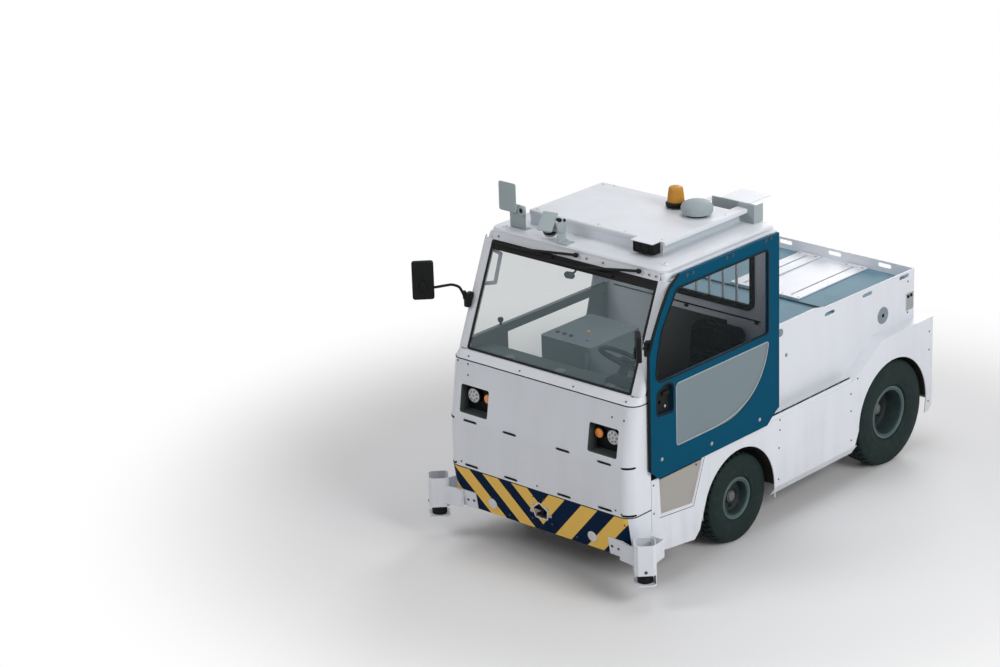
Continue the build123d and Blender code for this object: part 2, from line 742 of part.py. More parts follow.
# Deck of two plates between the walls, the front one a little lower, with slotted ribs on the rear one
deck_z_high = box_top_z - 85
deck_drop = 8
deck_joint_y = 640
deck_half_width = box_half_width - box_wall
deck_front_y = bar_y + 16
deck_rear_y = box_rear_y - box_wall
deck_z_low = deck_z_high - deck_drop
deck = block(-deck_half_width, deck_half_width, deck_front_y, deck_joint_y, deck_z_low - sheet, deck_z_low)
deck += block(-deck_half_width, deck_half_width, deck_joint_y, deck_rear_y, deck_z_low - sheet, deck_z_high)
rib_x = 180
rib_half_width = 80
rib_ends = (deck_joint_y + 25, deck_rear_y - 8)
rib_slot_ends = (rib_ends[0] + 30, rib_ends[1] - 40)
rib_height = 10
rib = block(rib_x - rib_half_width, rib_x + rib_half_width, *rib_ends, deck_z_high, deck_z_high + rib_height)
deck += pair(rib)
rib_slot_z = (deck_z_low - 2 * sheet, deck_z_high + 2 * rib_height)
deck -= pair(block(rib_x - 7, rib_x + 7, *rib_slot_ends, *rib_slot_z))
nodes["deck_plates"] = deck

# Rear panel: a shelf and a plate below it
rear_bottom_z = 300
rear_profile = (
    (box_rear_y, shoulder_z - sheet),
    (box_rear_y, shoulder_z),
    (tail_y, shoulder_z),
    (tail_y, rear_bottom_z),
    (tail_y - sheet, rear_bottom_z),
    (tail_y - sheet, shoulder_z - sheet),
)
rear_panel = side_slab(rear_profile, -box_half_width, box_half_width)
rear_panel += pair(block(box_half_width, half_width - sheet, tail_y - sheet, tail_y, rear_bottom_z,
                         shoulder_z - sheet))
nodes["rear_panel"] = rear_panel

# Rear tow coupling: stacked plates with a lifting pin
coupling_levels = (340, 410, 480, 550)
coupling_plate = 12
coupling_half_width = 46
coupling_root_y = tail_y + 12
coupling_end_y = coupling_root_y + 50
hitch_pin_y = coupling_end_y - 28
hitch_pin_radius = 16
coupling_foot_z = coupling_levels[0] - 30
coupling_head_z = coupling_levels[-1] + 40
coupling = block(-90, 90, tail_y, coupling_root_y, coupling_foot_z, coupling_head_z)
coupling_x = (-coupling_half_width, coupling_half_width)
for z in coupling_levels:
    coupling += block(*coupling_x, coupling_root_y, coupling_end_y, z, z + coupling_plate)
pin_bore_radius = hitch_pin_radius + 0.5
coupling -= rod((0, hitch_pin_y, coupling_foot_z), (0, hitch_pin_y, coupling_head_z), pin_bore_radius)
nodes["rear_coupling"] = coupling
pin_head_z = coupling_levels[-1] + coupling_plate + joint
pin = rod((0, hitch_pin_y, coupling_levels[0] - 12), (0, hitch_pin_y, pin_head_z), hitch_pin_radius)
pin += rod((0, hitch_pin_y, pin_head_z), (0, hitch_pin_y, pin_head_z + 12), 20)
pin += rod((0, hitch_pin_y, pin_head_z + 12), (0, hitch_pin_y, pin_head_z + 70), 8)
nodes["rear_hitch_pin"] = pin

# Lamps: headlamps and indicators in the recesses, round lamps on the rear panel
lamp_seat_y = lamp_recess_back_y - lamp_wall
rear_lamp_x = half_width - 73
lamp_places = (
    # x, z, radius, back y, front y
    (lamp_recess_x + 40, lamp_recess_z + 14, 44, lamp_seat_y, lamp_seat_y - 36),
    (lamp_recess_x - 66, lamp_recess_z + 14, 28, lamp_seat_y, lamp_seat_y - 29),
    (rear_lamp_x, 780, 42, tail_y + 14, tail_y),
    (rear_lamp_x, 680, 42, tail_y + 14, tail_y),
)
lamps = [pair(rod((x, back_y, z), (x, front_y, z), radius)) for x, z, radius, back_y, front_y in lamp_places]
nodes["lamps"] = sum(lamps[1:], lamps[0])

# Mirrors on bent arms from blocks on the screen pillars, folded forward
mirror_block_z = (1405, 1490)
mirror_block_x = (pillar_x + 16, pillar_x + 50)
mirror_root_y = frame_post_y + (mirror_block_z[0] - frame_knee_z) * screen_lean - 10
mirror_block_y = (mirror_root_y - 44, mirror_root_y + 12)
mirror_bends = (
    # x from the pillar, y from the block's root, z
    (44, -42, 1470),
    (62, -60, 1530),
    (92, -90, 1546),
    (166, -164, 1532),
)
mirror_arm_radius = 8
mirror_width = 126
mirror_depth = 30
left_mirror_height = 170
right_mirror_height = 232


def mirror_unit(height):
    """The left mirror: its block, its bent arm and a flat head that points forward and outward."""
    centre = (pillar_x + 208, mirror_root_y - 206, 1580)
    head_plane = Plane(origin=centre, x_dir=(1, -1, 0), z_dir=(1, 1, 0))
    outline = RectangleRounded(mirror_width, height, 16)
    unit = head_plane * extrude(outline, amount=mirror_depth / 2, both=True)
    unit += block(*mirror_block_x, *mirror_block_y, *mirror_block_z)
    bends = [(pillar_x + across, mirror_root_y + along, z) for across, along, z in mirror_bends]
    for start, end in zip(bends, bends[1:]):
        unit += rod(start, end, mirror_arm_radius) + Pos(*start) * Sphere(mirror_arm_radius)
    return unit - nodes["cab_frame"]


nodes["mirrors"] = mirror_unit(left_mirror_height) + mirrored(mirror_unit(right_mirror_height))


def plan_slab(points, z0, z1):
    """A slab with an (x, y) outline between two heights."""
    return Pos(0, 0, z0) * extrude(make_face(Polyline(*points, close=True)), amount=z1 - z0)


# Corner guards, each a folded box round a scanner at 45 degrees, and the scanners
guard_centre = (half_width + 95, nose_top_y - 48)
guard_half = 61
guard_corner = 18
guard_plate = 5
scanner_radius = 42
scanner_height = 160
guard_foot_z = 150
guard_skirt_z = 215
guard_top_z = 395
guard_foot_sheet = 8
link_z = (238, 345)
link_sheet = 6
link_front_x = (half_width - 183, half_width - 71)
guard_frame = Pos(*guard_centre, 0) * Rot(0, 0, -45)


def cut_square(half, corner):
    """A square outline about its centre with its corners cut off."""
    flat = half - corner
    points = ((half, -flat), (half, flat), (flat, half), (-flat, half))
    points += ((-half, flat), (-half, -flat), (-flat, -half), (flat, -half))
    return make_face(Polyline(*points, close=True))


def sensor_guard():
    """The left guard: an eight-sided tube on a foot plate, and its two links to the body."""
    outer = guard_half
    inner = guard_half - guard_plate
    ring = cut_square(outer, guard_corner) - cut_square(inner, guard_corner - guard_plate / 2)
    shell = Pos(0, 0, guard_skirt_z) * extrude(ring, amount=guard_top_z - guard_skirt_z)
    flat = outer - guard_corner
    shell += block(-flat, flat, inner, outer, guard_foot_z, guard_skirt_z)
    shell += Pos(0, 0, guard_foot_z) * extrude(cut_square(outer, guard_corner), amount=guard_foot_sheet)
    shell = guard_frame * shell
    z0, z1 = link_z
    low_y = nose_y(z0)
    high_y = nose_y(z1)
    front_foot = ((high_y, z1), (low_y, z0), (low_y - link_sheet, z0), (high_y - link_sheet, z1))
    shell += side_slab(front_foot, *link_front_x)
    cheek = (
        (half_width - 83, high_y),
        (half_width - 83, high_y - 24),
        (half_width + 25, guard_centre[1] - 18),
        (half_width + 25, guard_centre[1] - 8),
    )
    shell += plan_slab(cheek, *link_z)
    far_x = guard_centre[0] - 10
    far_y = guard_centre[1] + 178
    cheek = (
        (far_x - 4, far_y),
        (far_x + 4, far_y),
        (guard_centre[0] + 16, guard_centre[1] + 53),
        (guard_centre[0] + 8, guard_centre[1] + 53),
    )
    shell += plan_slab(cheek, *link_z)
    shell += block(half_width, far_x + 4, far_y - link_sheet, far_y, *link_z)
    return shell + block(half_width, half_width + link_sheet, far_y - link_sheet, far_y + 70, *link_z)


nodes["sensor_guards"] = pair(sensor_guard())
scanner_foot = Pos(*guard_centre, guard_foot_z + guard_foot_sheet)
scanner = scanner_foot * extrude(Circle(scanner_radius), amount=scanner_height)
nodes["corner_scanners"] = pair(scanner)

# Axles
front_wheel_z = front_tyre_radius
rear_wheel_z = rear_tyre_radius
beam_end_x = kingpin_x - knuckle_radius - 12
beam_inner_x = beam_end_x - 30
yoke_z = knuckle_half_height + joint
yoke_reach = yoke_z + yoke_arm
front_axle = block(-beam_inner_x, beam_inner_x, front_axle_y - 32, front_axle_y + 32, 215, 300)


def axle_end():
    """The left end of the front axle: its post, both yoke arms and the kingpin."""
    post_y = (front_axle_y - 22, front_axle_y + 22)
    end = block(beam_inner_x, beam_end_x, *post_y, front_wheel_z - yoke_reach, front_wheel_z + yoke_reach)
    for direction in (-1, 1):
        z0, z1 = sorted((front_wheel_z + direction * yoke_z, front_wheel_z + direction * yoke_reach))
        end += block(beam_inner_x, kingpin_x, *post_y, z0, z1)
        end += rod((kingpin_x, front_axle_y, z0), (kingpin_x, front_axle_y, z1), 26)
    pin_bottom = (kingpin_x, front_axle_y, front_wheel_z - yoke_reach)
    pin_top = (kingpin_x, front_axle_y, front_wheel_z + yoke_reach)
    return end + rod(pin_bottom, pin_top, kingpin_radius)


nodes["front_axle"] = front_axle + pair(axle_end())


def knuckle():
    """The left steering knuckle: a barrel on the kingpin with its stub axle and steering arm."""
    low = front_wheel_z - knuckle_half_height
    high = front_wheel_z + knuckle_half_height
    body = rod((kingpin_x, front_axle_y, low), (kingpin_x, front_axle_y, high), knuckle_radius)
    stub_ends = [(x, front_axle_y, front_wheel_z) for x in (kingpin_x, stub_end_x)]
    body += rod(*stub_ends, stub_radius)
    lever = block(-9, 9, 20, 85, low, low + 16)
    body += Pos(kingpin_x, front_axle_y, 0) * Rot(0, 0, 15) * lever
    bore_ends = [(kingpin_x, front_axle_y, z) for z in (low - 5, high + 5)]
    return body - rod(*bore_ends, kingpin_radius + running_clearance)


for name, side in sides:
    nodes[f"knuckle_{name}"] = on_side(knuckle(), side)


def ring_section(points):
    """A solid turned about the X axis from (x, radius) points."""
    return revolve(make_face(Polyline(*points, close=True)), Axis.X)


axle_tube_radius = 46
axle_tube_end_x = rear_wheel_x - 70
rear_axle_half = (
    # x, radius
    (rear_stub_end_x, 0),
    (rear_stub_end_x, rear_stub_radius),
    (axle_tube_end_x, rear_stub_radius),
    (axle_tube_end_x, axle_tube_radius),
    (130, axle_tube_radius),
    (70, 105),
)
rear_axle_outline = rear_axle_half + tuple((-x, r) for x, r in reversed(rear_axle_half))
rear_axle = Pos(0, rear_axle_y, rear_wheel_z) * ring_section(rear_axle_outline)
spring_seat = (rail_x - 30, rail_x + 30, rear_axle_y - 38, rear_axle_y + 38)
rear_axle += pair(block(*spring_seat, rear_wheel_z, axle_notch_top_z))
nodes["rear_axle"] = rear_axle


bead_share = 0.74


def tyre(radius, width, bead):
    """A tyre on its bead seat: bulged walls and a flat tread with cut shoulders."""
    half = width / 2
    wall = radius - bead
    shoulder = (
        (half * bead_share, bead),
        (half * bead_share, bead + 0.14 * wall),
        (half * 0.97, bead + 0.36 * wall),
        (half, bead + 0.56 * wall),
        (half * 0.94, bead + 0.80 * wall),
        (half * bead_share, radius - 6),
        (half * 0.5, radius),
    )
    other = tuple((-x, r) for x, r in reversed(shoulder))
    return ring_section(shoulder + other)


flange_height = 15
disc_sheet = 10
bolt_circle_radius = 68


def rim(width, bead, stub, hub_outer, dish):
    """A wheel: flanged barrel, a dished disc with bolt heads and a hub that turns on its stub."""
    half = width / 2 * bead_share
    inside = bead - rim_wall
    disc_face = dish + disc_sheet
    seat = half + 0.2
    edge = half + rim_wall
    bore = stub + running_clearance
    barrel = (
        (edge, inside),
        (edge, bead + flange_height),
        (seat, bead + flange_height),
        (seat, bead),
        (-seat, bead),
        (-seat, bead + flange_height),
        (-edge, bead + flange_height),
        (-edge, inside),
        (dish - 6, inside),
        (dish, inside - 14),
        (dish, 62),
        (dish - 2, 50),
        (dish - 2, bore),
        (hub_outer, bore),
        (hub_outer, 36),
        (disc_face, 50),
        (disc_face, inside - 12),
        (disc_face + 8, inside),
    )
    cap = (
        (hub_outer, 36),
        (hub_outer + 12, 26),
        (hub_outer + 12, 0),
        (hub_outer + 6, 0),
        (hub_outer + 6, stub),
        (hub_outer, stub + 4),
    )
    wheel = ring_section(barrel) + ring_section(cap)
    for number in range(5):
        angle = radians(72 * number)
        centre_y = bolt_circle_radius * cos(angle)
        centre_z = bolt_circle_radius * sin(angle)
        wheel += rod((disc_face - 1, centre_y, centre_z), (disc_face + 14, centre_y, centre_z), 9)
    return wheel


wheels = (
    # name, x, y, radius, width, bead radius, stub radius, stub end x, dish depth
    ("front", front_wheel_x, front_axle_y, front_tyre_radius, front_tyre_width, front_bead_radius,
     stub_radius, stub_end_x, front_dish_x),
    ("rear", rear_wheel_x, rear_axle_y, rear_tyre_radius, rear_tyre_width, rear_bead_radius,
     rear_stub_radius, rear_stub_end_x, rear_dish_x),
)
for name, x, y, radius, width, bead, stub, stub_end, dish in wheels:
    tyre_solid = Pos(x, y, radius) * tyre(radius, width, bead)
    rim_solid = Pos(x, y, radius) * rim(width, bead, stub, stub_end - x + joint, dish)
    for side_name, side in sides:
        nodes[f"tyre_{name}_{side_name}"] = on_side(tyre_solid, side)
        nodes[f"rim_{name}_{side_name}"] = on_side(rim_solid, side)

# Sliding door: a panel with a window, a lower light and a handle recess, guide channel and carriers
door_front_y = -1288
door_rear_y = -123
door_foot_z = sill_z + 10
waist_z = 1246
door_outline = (
    (-1016, roof_z + 25), (-1107, roof_z - 42), (-1181, 1646), (-1249, 1519), (door_front_y, 1421),
    (door_front_y, door_foot_z + 58), (-1222, door_foot_z), (-238, door_foot_z), (-162, door_foot_z + 60),
    (door_rear_y, door_foot_z + 80), (door_rear_y, roof_z + 25),
)
door_window = (
    (-1050, roof_z - 48), (-1106, 1662), (-1184, 1544), (-1225, 1401), (-1239, 1279), (-1201, waist_z),
    (-227, waist_z), (-227, roof_z - 48),
)
window_corner = 22
lower_light_front_y = -1066
lower_light_rear_y = -210
lower_light_top_z = waist_z - 46
lower_light_foot_z = 822
handle_recess = ((-1232, 1056), (-1092, 1044), (-1090, 1210), (-1150, 1222), (-1228, 1190))
carrier_places = (-760, -230)
carrier_x = (rail_inner_x + rail_outer_x) / 2
carrier_radius = 10
carrier_arm_z = (sill_z + rail_height + 8, sill_z + rail_height + 18)


def lower_light():
    """The lower light's outline: straight front and top, and one arc from the top to the foot."""
    front = lower_light_front_y
    top = lower_light_top_z
    foot = lower_light_foot_z
    edges = [
        Polyline((-700, foot), (front, foot), (front, top), (lower_light_rear_y, top)),
        ThreePointArc((lower_light_rear_y, top), (-388, 900), (-700, foot)),
    ]
    face = make_face(edges)
    corners = [v for v in face.vertices() if v.X < front + 5 or v.X > lower_light_rear_y - 5]
    return fillet(corners, 28)


def door():
    """The left door panel."""
    outer_x = door_inner_x + door_thickness
    panel = side_slab(door_outline, door_inner_x, outer_x)
    through = (door_inner_x - 5, outer_x + 5)
    panel -= side_slab(door_window, *through, window_corner)
    panel -= Plane.YZ.offset(through[0]) * extrude(lower_light(), amount=through[1] - through[0])
    panel -= side_slab(handle_recess, *through, window_corner)
    x0, x1 = guide_channel_x
    z0, z1 = guide_channel_z
    ends = (-985, door_rear_y - 17)
    panel += block(x0, x1, *ends, z0, z1) - block(x0 + rail_wall, x1 - rail_wall, *ends, z0, z1 - rail_wall)
    roller_z = sill_z + rail_wall + door_clearance + carrier_radius
    for y in carrier_places:
        panel += rod((carrier_x - 5, y, roller_z), (carrier_x + 5, y, roller_z), carrier_radius)
        panel += block(carrier_x - 4, carrier_x + 4, y - 8, y + 8, roller_z, carrier_arm_z[1])
        panel += block(carrier_x - 4, door_inner_x, y - 14, y + 14, *carrier_arm_z)
    return panel


def door_glazing():
    """The left door's window glass and lower light, inside their openings."""
    x0 = door_inner_x + 8
    upper = side_slab(door_window, x0, x0 + door_glass_thickness, window_corner)
    lower = Plane.YZ.offset(x0) * extrude(lower_light(), amount=door_glass_thickness)
    return upper + lower


nodes["door_left"] = door()
nodes["door_glazing_left"] = door_glazing()

for name, shape in nodes.items():
    export_step(shape, f"parts/{name}.step")
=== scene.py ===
import math

import bmesh
import bpy
import numpy as np
from mathutils import Matrix, Vector


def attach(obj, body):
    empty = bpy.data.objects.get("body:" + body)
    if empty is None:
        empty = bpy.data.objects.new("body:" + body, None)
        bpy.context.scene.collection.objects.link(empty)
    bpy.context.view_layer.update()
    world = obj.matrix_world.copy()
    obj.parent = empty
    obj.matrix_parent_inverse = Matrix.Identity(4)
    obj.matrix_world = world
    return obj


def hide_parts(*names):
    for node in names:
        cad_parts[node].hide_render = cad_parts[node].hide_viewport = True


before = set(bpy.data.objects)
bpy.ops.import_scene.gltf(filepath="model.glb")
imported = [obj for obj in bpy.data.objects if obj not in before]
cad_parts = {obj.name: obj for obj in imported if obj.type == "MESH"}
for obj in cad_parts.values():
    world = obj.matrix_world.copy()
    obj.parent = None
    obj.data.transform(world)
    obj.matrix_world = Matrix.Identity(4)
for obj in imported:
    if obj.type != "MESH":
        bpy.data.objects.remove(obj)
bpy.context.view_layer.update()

# The looks of a tow tractor, in metres. The front faces -Y and the vehicle's left side is +X.
turn = 2 * math.pi
forwards, rearwards, leftwards, upwards = (0, -1, 0), (0, 1, 0), (1, 0, 0), (0, 0, 1)


# Surfaces: (points, faces) pairs, where faces is a list of index arrays
def skin(rings, around=True, closed=False, first_lid=False, last_lid=False):
    """Quads over a grid rings[i, j]. Around joins a ring's ends, closed joins the last ring to the first."""
    rings = np.asarray(rings, float)
    m, n = rings.shape[:2]
    i = np.arange(m if closed else m - 1)[:, None]
    j = np.arange(n if around else n - 1)[None, :]
    up, on = (i + 1) % m, (j + 1) % n
    faces = [np.stack([i * n + j, i * n + on, up * n + on, up * n + j], -1).reshape(-1, 4)]
    if first_lid:
        faces.append(np.arange(n)[None, ::-1])
    if last_lid:
        faces.append((m - 1) * n + np.arange(n)[None, :])
    return rings.reshape(-1, 3), faces


def join(*surfaces):
    """One surface from several: the points end to end, each one's faces moved up by the points before it."""
    points, faces, start = [], [], 0
    for p, f in surfaces:
        points.append(p)
        faces += [block + start for block in f]
        start += len(p)
    return np.concatenate(points), faces


def placed(surface, origin, out=(0, 0, 1), right=None):
    """A surface drawn with X right, Y up and Z outwards, put at origin: origin + x right + y up + z out."""
    out = np.array(out, float) / np.linalg.norm(out)
    if right is None:
        right = np.cross((0, 0, 1), out) if abs(out[2]) < 0.99 else (1, 0, 0)
    right = np.array(right, float)
    right -= out * (right @ out)
    right /= np.linalg.norm(right)
    axes = np.stack([right, np.cross(out, right), out])
    return surface[0] @ axes + np.array(origin, float), surface[1]


def copies(surface, places):
    """The same surface moved to each place: point k of copy c is p[k] + place[c]."""
    places = np.asarray(places, float).reshape(-1, 3)
    points, faces = surface
    step = np.arange(len(places)) * len(points)
    moved = (points[None] + places[:, None]).reshape(-1, 3)
    return moved, [(block[None] + step[:, None, None]).reshape(-1, block.shape[1]) for block in faces]


def fastened(surface, places, out, right=None):
    """A small part put at each of several places that face one way."""
    return copies(placed(surface, (0, 0, 0), out, right), places)


def mirrored(surface):
    """A surface's mirror image: x turned to -x and its faces turned back."""
    return surface[0] * (-1, 1, 1), [block[:, ::-1] for block in surface[1]]


def both(surface):
    """A surface of the left side together with its mirror image."""
    return join(surface, mirrored(surface))


def circle(radius, count, height=0.0):
    """Points round Z: (r cos t, r sin t, height)."""
    t = np.arange(count) / count * turn
    return np.stack([radius * np.cos(t), radius * np.sin(t), np.full(count, height)], -1)


def turned(profile, steps=40, closed=False):
    """A profile of (radius, height) rows carried round Z: (r cos t, r sin t, h). Closed joins its ends."""
    r, h = np.array(profile, float).T
    t = np.arange(steps) / steps * turn
    rings = np.stack([np.outer(r, np.cos(t)), np.outer(r, np.sin(t)), np.outer(h, np.ones(steps))], -1)
    return skin(rings, closed=closed, first_lid=not closed, last_lid=not closed)


def tube(outer, inner, height):
    """A ring with a rectangular section: two radii and a height."""
    return turned([(inner, 0), (outer, 0), (outer, height), (inner, height)], closed=True)


def softened(corners, radius, steps=5, closed=True):
    """A line, its corners turned to curves (1-t)^2 a + 2t(1-t) corner + t^2 b, with a and b radius away."""
    p = np.asarray(corners, float)
    before, after = np.roll(p, 1, 0), np.roll(p, -1, 0)
    radius = np.broadcast_to(radius, len(p))[:, None]
    reach = [np.linalg.norm(q - p, axis=1, keepdims=True) for q in (before, after)]
    a = p + (before - p) / reach[0] * np.minimum(radius, 0.49 * reach[0])
    b = p + (after - p) / reach[1] * np.minimum(radius, 0.49 * reach[1])
    t = np.linspace(0, 1, steps + 1)[None, :, None]
    line = (1 - t) ** 2 * a[:, None] + 2 * t * (1 - t) * p[:, None] + t ** 2 * b[:, None]
    if closed:
        return line.reshape(-1, p.shape[1])
    return np.concatenate([p[:1], line[1:-1].reshape(-1, p.shape[1]), p[-1:]])


def rectangle(width, height, radius, steps=5):
    """A rounded rectangle's outline about its centre."""
    x, y = width / 2, height / 2
    return softened([(x, -y), (x, y), (-x, y), (-x, -y)], radius, steps)


def oval(width, height, steps):
    """A slot's outline: two half circles joined by straight sides."""
    t = np.linspace(-turn / 4, turn / 4, steps)
    r = height / 2
    end = np.stack([r * np.cos(t) + (width - height) / 2, r * np.sin(t)], -1)
    return np.concatenate([end, -end])


def inward(outline):
    """Each point's inward mitre, the outline counter-clockwise: (n + m) / (1 + n m) of its sides' normals."""
    along = np.roll(outline, -1, 0) - outline
    along /= np.linalg.norm(along, axis=1, keepdims=True) + 1e-12
    normal = np.stack([-along[:, 1], along[:, 0]], -1)
    last = np.roll(normal, 1, 0)
    return (normal + last) / (1 + (normal * last).sum(1, keepdims=True)).clip(0.3)


def grown(outline, distance):
    """An outline moved outwards by a distance: p - d m, with m the inward mitre."""
    outline = np.asarray(outline, float)
    return outline - distance * inward(outline)


def slab(outline, thickness, edge=0.0, steps=3):
    """A plate on an outline, its edges rounded: inset by edge (1 - sin a) at height edge (1 - cos a)."""
    outline = np.asarray(outline, float)
    a = np.linspace(0, turn / 4, steps + 1) if edge else np.zeros(1)
    inset = np.concatenate([edge * (1 - np.sin(a)), edge * (1 - np.sin(a[::-1]))])
    height = np.concatenate([edge * (1 - np.cos(a)), thickness - edge * (1 - np.cos(a[::-1]))])
    flat = outline[None] + inset[:, None, None] * inward(outline)[None]
    rings = np.concatenate([flat, np.broadcast_to(height[:, None, None], flat.shape[:2] + (1,))], -1)
    return skin(rings, first_lid=True, last_lid=True)


def plate(width, height, radius, thickness, edge=0.0, steps=5, edge_steps=3):
    """A slab on a rounded rectangle."""
    return slab(rectangle(width, height, radius, steps), thickness, edge, edge_steps)


def border(outline, width, thickness, edge=0.0008):
    """A flat ring inside an outline: its section is a rectangle, width by thickness, with cut corners."""
    outline = np.asarray(outline, float)
    section = np.array([(0, edge), (edge, 0), (width - edge, 0), (width, edge), (width, thickness - edge),
                        (width - edge, thickness), (edge, thickness), (0, thickness - edge)])
    flat = outline[:, None] + section[None, :, :1] * inward(outline)[:, None]
    rings = np.concatenate([flat, np.broadcast_to(section[None, :, 1:], flat.shape[:2] + (1,))], -1)
    return skin(rings, closed=True)


def swept(path, section, closed=False, up=(0, 0, 1)):
    """A closed section of (side, top) rows carried along a path: p = path + side s + top u."""
    path, section = np.asarray(path, float), np.asarray(section, float)
    if closed:
        ahead = np.roll(path, -1, 0) - np.roll(path, 1, 0)
    else:
        ahead = np.gradient(path, axis=0)
    ahead /= np.linalg.norm(ahead, axis=1, keepdims=True)
    side = np.cross(np.array(up, float), ahead)
    side /= np.linalg.norm(side, axis=1, keepdims=True) + 1e-12
    top = np.cross(ahead, side)
    rings = path[:, None] + side[:, None] * section[None, :, :1] + top[:, None] * section[None, :, 1:]
    return skin(rings, closed=closed, first_lid=not closed, last_lid=not closed)


def round_bar(path, radius, sides=12, closed=False, up=(0, 0, 1)):
    """A round bar along a path: a circle of the radius as its section."""
    return swept(path, circle(radius, sides)[:, :2], closed, up)


def straight(a, b, steps):
    """Evenly spaced points from a to b."""
    t = np.linspace(0, 1, steps)[:, None]
    return np.array(a, float) * (1 - t) + np.array(b, float) * t


def button_head(radius, height):
    """A domed screw head with a socket: radius r cos a, height h sin a, and a cup in the middle."""
    a = np.linspace(0, turn / 4 * 0.75, 5)
    dome = np.stack([radius * np.cos(a), height * np.sin(a)], -1)
    cup = [(radius * 0.36, height * 0.92), (radius * 0.3, height * 0.35), (0.0001, height * 0.35)]
    return turned([(radius, 0)] + dome[1:].tolist() + cup, 12)


def hex_head(radius, height):
    """A hexagon bolt head on its washer: six sides, with the upper corners cut."""
    washer = turned([(radius * 1.5, 0), (radius * 1.5, height * 0.18), (radius * 0.9, height * 0.2)], 18)
    head = turned([(radius, height * 0.18), (radius, height * 0.86), (radius * 0.86, height),
                   (0.0001, height)], 6)
    return join(washer, head)


def thing_from(name, surface):
    """A mesh object with a surface's points and faces, in the scene."""
    points, faces = surface
    mesh = bpy.data.meshes.new(name)
    mesh.from_pydata(points.tolist(), [], [row for block in faces for row in block.tolist()])
    thing = bpy.data.objects.new(name, mesh)
    bpy.context.scene.collection.objects.link(thing)
    return thing


def piece(name, surface, finish, body="tractor", replaces=(), sharp=35):
    """A surface as a piece: doubles merged, faces turned out, smooth but for corners over sharp degrees."""
    thing = thing_from(name, surface)
    mesh = thing.data
    edit = bmesh.new()
    edit.from_mesh(mesh)
    bmesh.ops.remove_doubles(edit, verts=edit.verts, dist=2e-6)
    bmesh.ops.recalc_face_normals(edit, faces=edit.faces)
    edit.to_mesh(mesh)
    edit.free()
    mesh.polygons.foreach_set("use_smooth", np.ones(len(mesh.polygons), bool))
    mesh.set_sharp_from_angle(angle=math.radians(sharp))
    mesh.materials.append(finish.material)
    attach(thing, body)
    if replaces:
        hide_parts(*replaces)
    return thing


# Finishes
class Field:
    """A value that varies over a surface. Arithmetic on it adds Math nodes to its finish."""

    def __init__(self, paint, socket):
        self.paint, self.socket = paint, socket

    def math(self, operation, *values):
        return self.paint.node("ShaderNodeMath", {"operation": operation}, values)

    def __add__(self, other):
        return self.math("ADD", self, other)

    def __sub__(self, other):
        return self.math("SUBTRACT", self, other)

    def __rsub__(self, other):
        return self.math("SUBTRACT", other, self)

    def __mul__(self, other):
        return self.math("MULTIPLY", self, other)

    def __truediv__(self, other):
        return self.math("DIVIDE", self, other)

    def __gt__(self, other):
        return self.math("GREATER_THAN", self, other)

    def __lt__(self, other):
        return self.math("LESS_THAN", self, other)

    def __mod__(self, other):
        return self.math("FLOORED_MODULO", self, other)

    def __abs__(self):
        return self.math("ABSOLUTE", self)

    def root(self):
        return self.math("SQRT", self)

    __radd__ = __add__
    __rmul__ = __mul__


class Paint:
    """A finish: a Principled shader and the nodes that vary its colour, roughness and bump."""

    def __init__(self, name, color, roughness=0.5, **constants):
        self.material = bpy.data.materials.new(name)
        self.material.use_nodes = True
        self.tree = self.material.node_tree
        self.shader = self.tree.nodes["Principled BSDF"]
        self.shade = color
        self.set("Base Color", (*color, 1.0))
        self.set("Roughness", roughness)
        for key, value in constants.items():
            self.set(key.replace("_", " ").title().replace("Ior", "IOR"), value)
        self.place = self.node("ShaderNodeTexCoord", {}, (), "Object")
        self.x, self.y, self.z = (self.node("ShaderNodeSeparateXYZ", {}, (self.place,), k) for k in "XYZ")

    def set(self, socket, value):
        """Sets or links one socket of the shader."""
        self.fill(self.shader.inputs[socket], value)

    def fill(self, target, value):
        """Sets or links any socket."""
        if isinstance(value, Field):
            self.tree.links.new(value.socket, target)
        else:
            target.default_value = value

    def node(self, kind, settings, values, output=0):
        """Any node: its settings first, then its sockets by order or by name."""
        made = self.tree.nodes.new(kind)
        for key, value in settings.items():
            setattr(made, key, value)
        keyed = values.items() if isinstance(values, dict) else enumerate(values)
        for key, value in keyed:
            self.fill(made.inputs[key], value)
        return Field(self, made.outputs[output])

    def noise(self, scale, detail=3.0, stretch=None):
        """Soft noise about 0.5 on the object's own place, stretched where asked."""
        place = self.place
        if stretch:
            place = self.node("ShaderNodeMapping", {}, {"Vector": place, "Scale": stretch})
        return self.node("ShaderNodeTexNoise", {}, {"Vector": place, "Scale": scale, "Detail": detail,
                                                    "Roughness": 0.55})

    def cells(self, scale):
        """Each point's distance to the middle of its cell."""
        return self.node("ShaderNodeTexVoronoi", {}, {"Vector": self.place, "Scale": scale}, "Distance")

    def step(self, value, low, high):
        """0 below low, 1 above high and a smooth rise between."""
        return self.node("ShaderNodeMapRange", {"interpolation_type": "SMOOTHSTEP"},
                         {"Value": value, "From Min": low, "From Max": high})

    def mix(self, factor, first, second):
        """A colour between two, by a factor from 0 to 1."""
        first, second = (c if isinstance(c, Field) else (*c[:3], 1.0) for c in (first, second))
        return self.node("ShaderNodeMix", {"data_type": "RGBA"}, {0: factor, 6: first, 7: second}, 2)

    def over(self, part, color):
        """Lays a colour over the present one, as thick as part says from 0 to 1."""
        self.shade = self.mix(part, self.shade, color)
        self.set("Base Color", self.shade)

    def bump(self, height, distance, strength, under=None):
        """Adds a bump of the given height in metres, over another bump where asked."""
        values = {"Height": height, "Distance": distance, "Strength": strength}
        if under:
            values["Normal"] = under
        normal = self.node("ShaderNodeBump", {}, values)
        self.set("Normal", normal)
        return normal


def dimmed(color, factor):
    """A colour times a factor."""
    return tuple(c * factor for c in color)


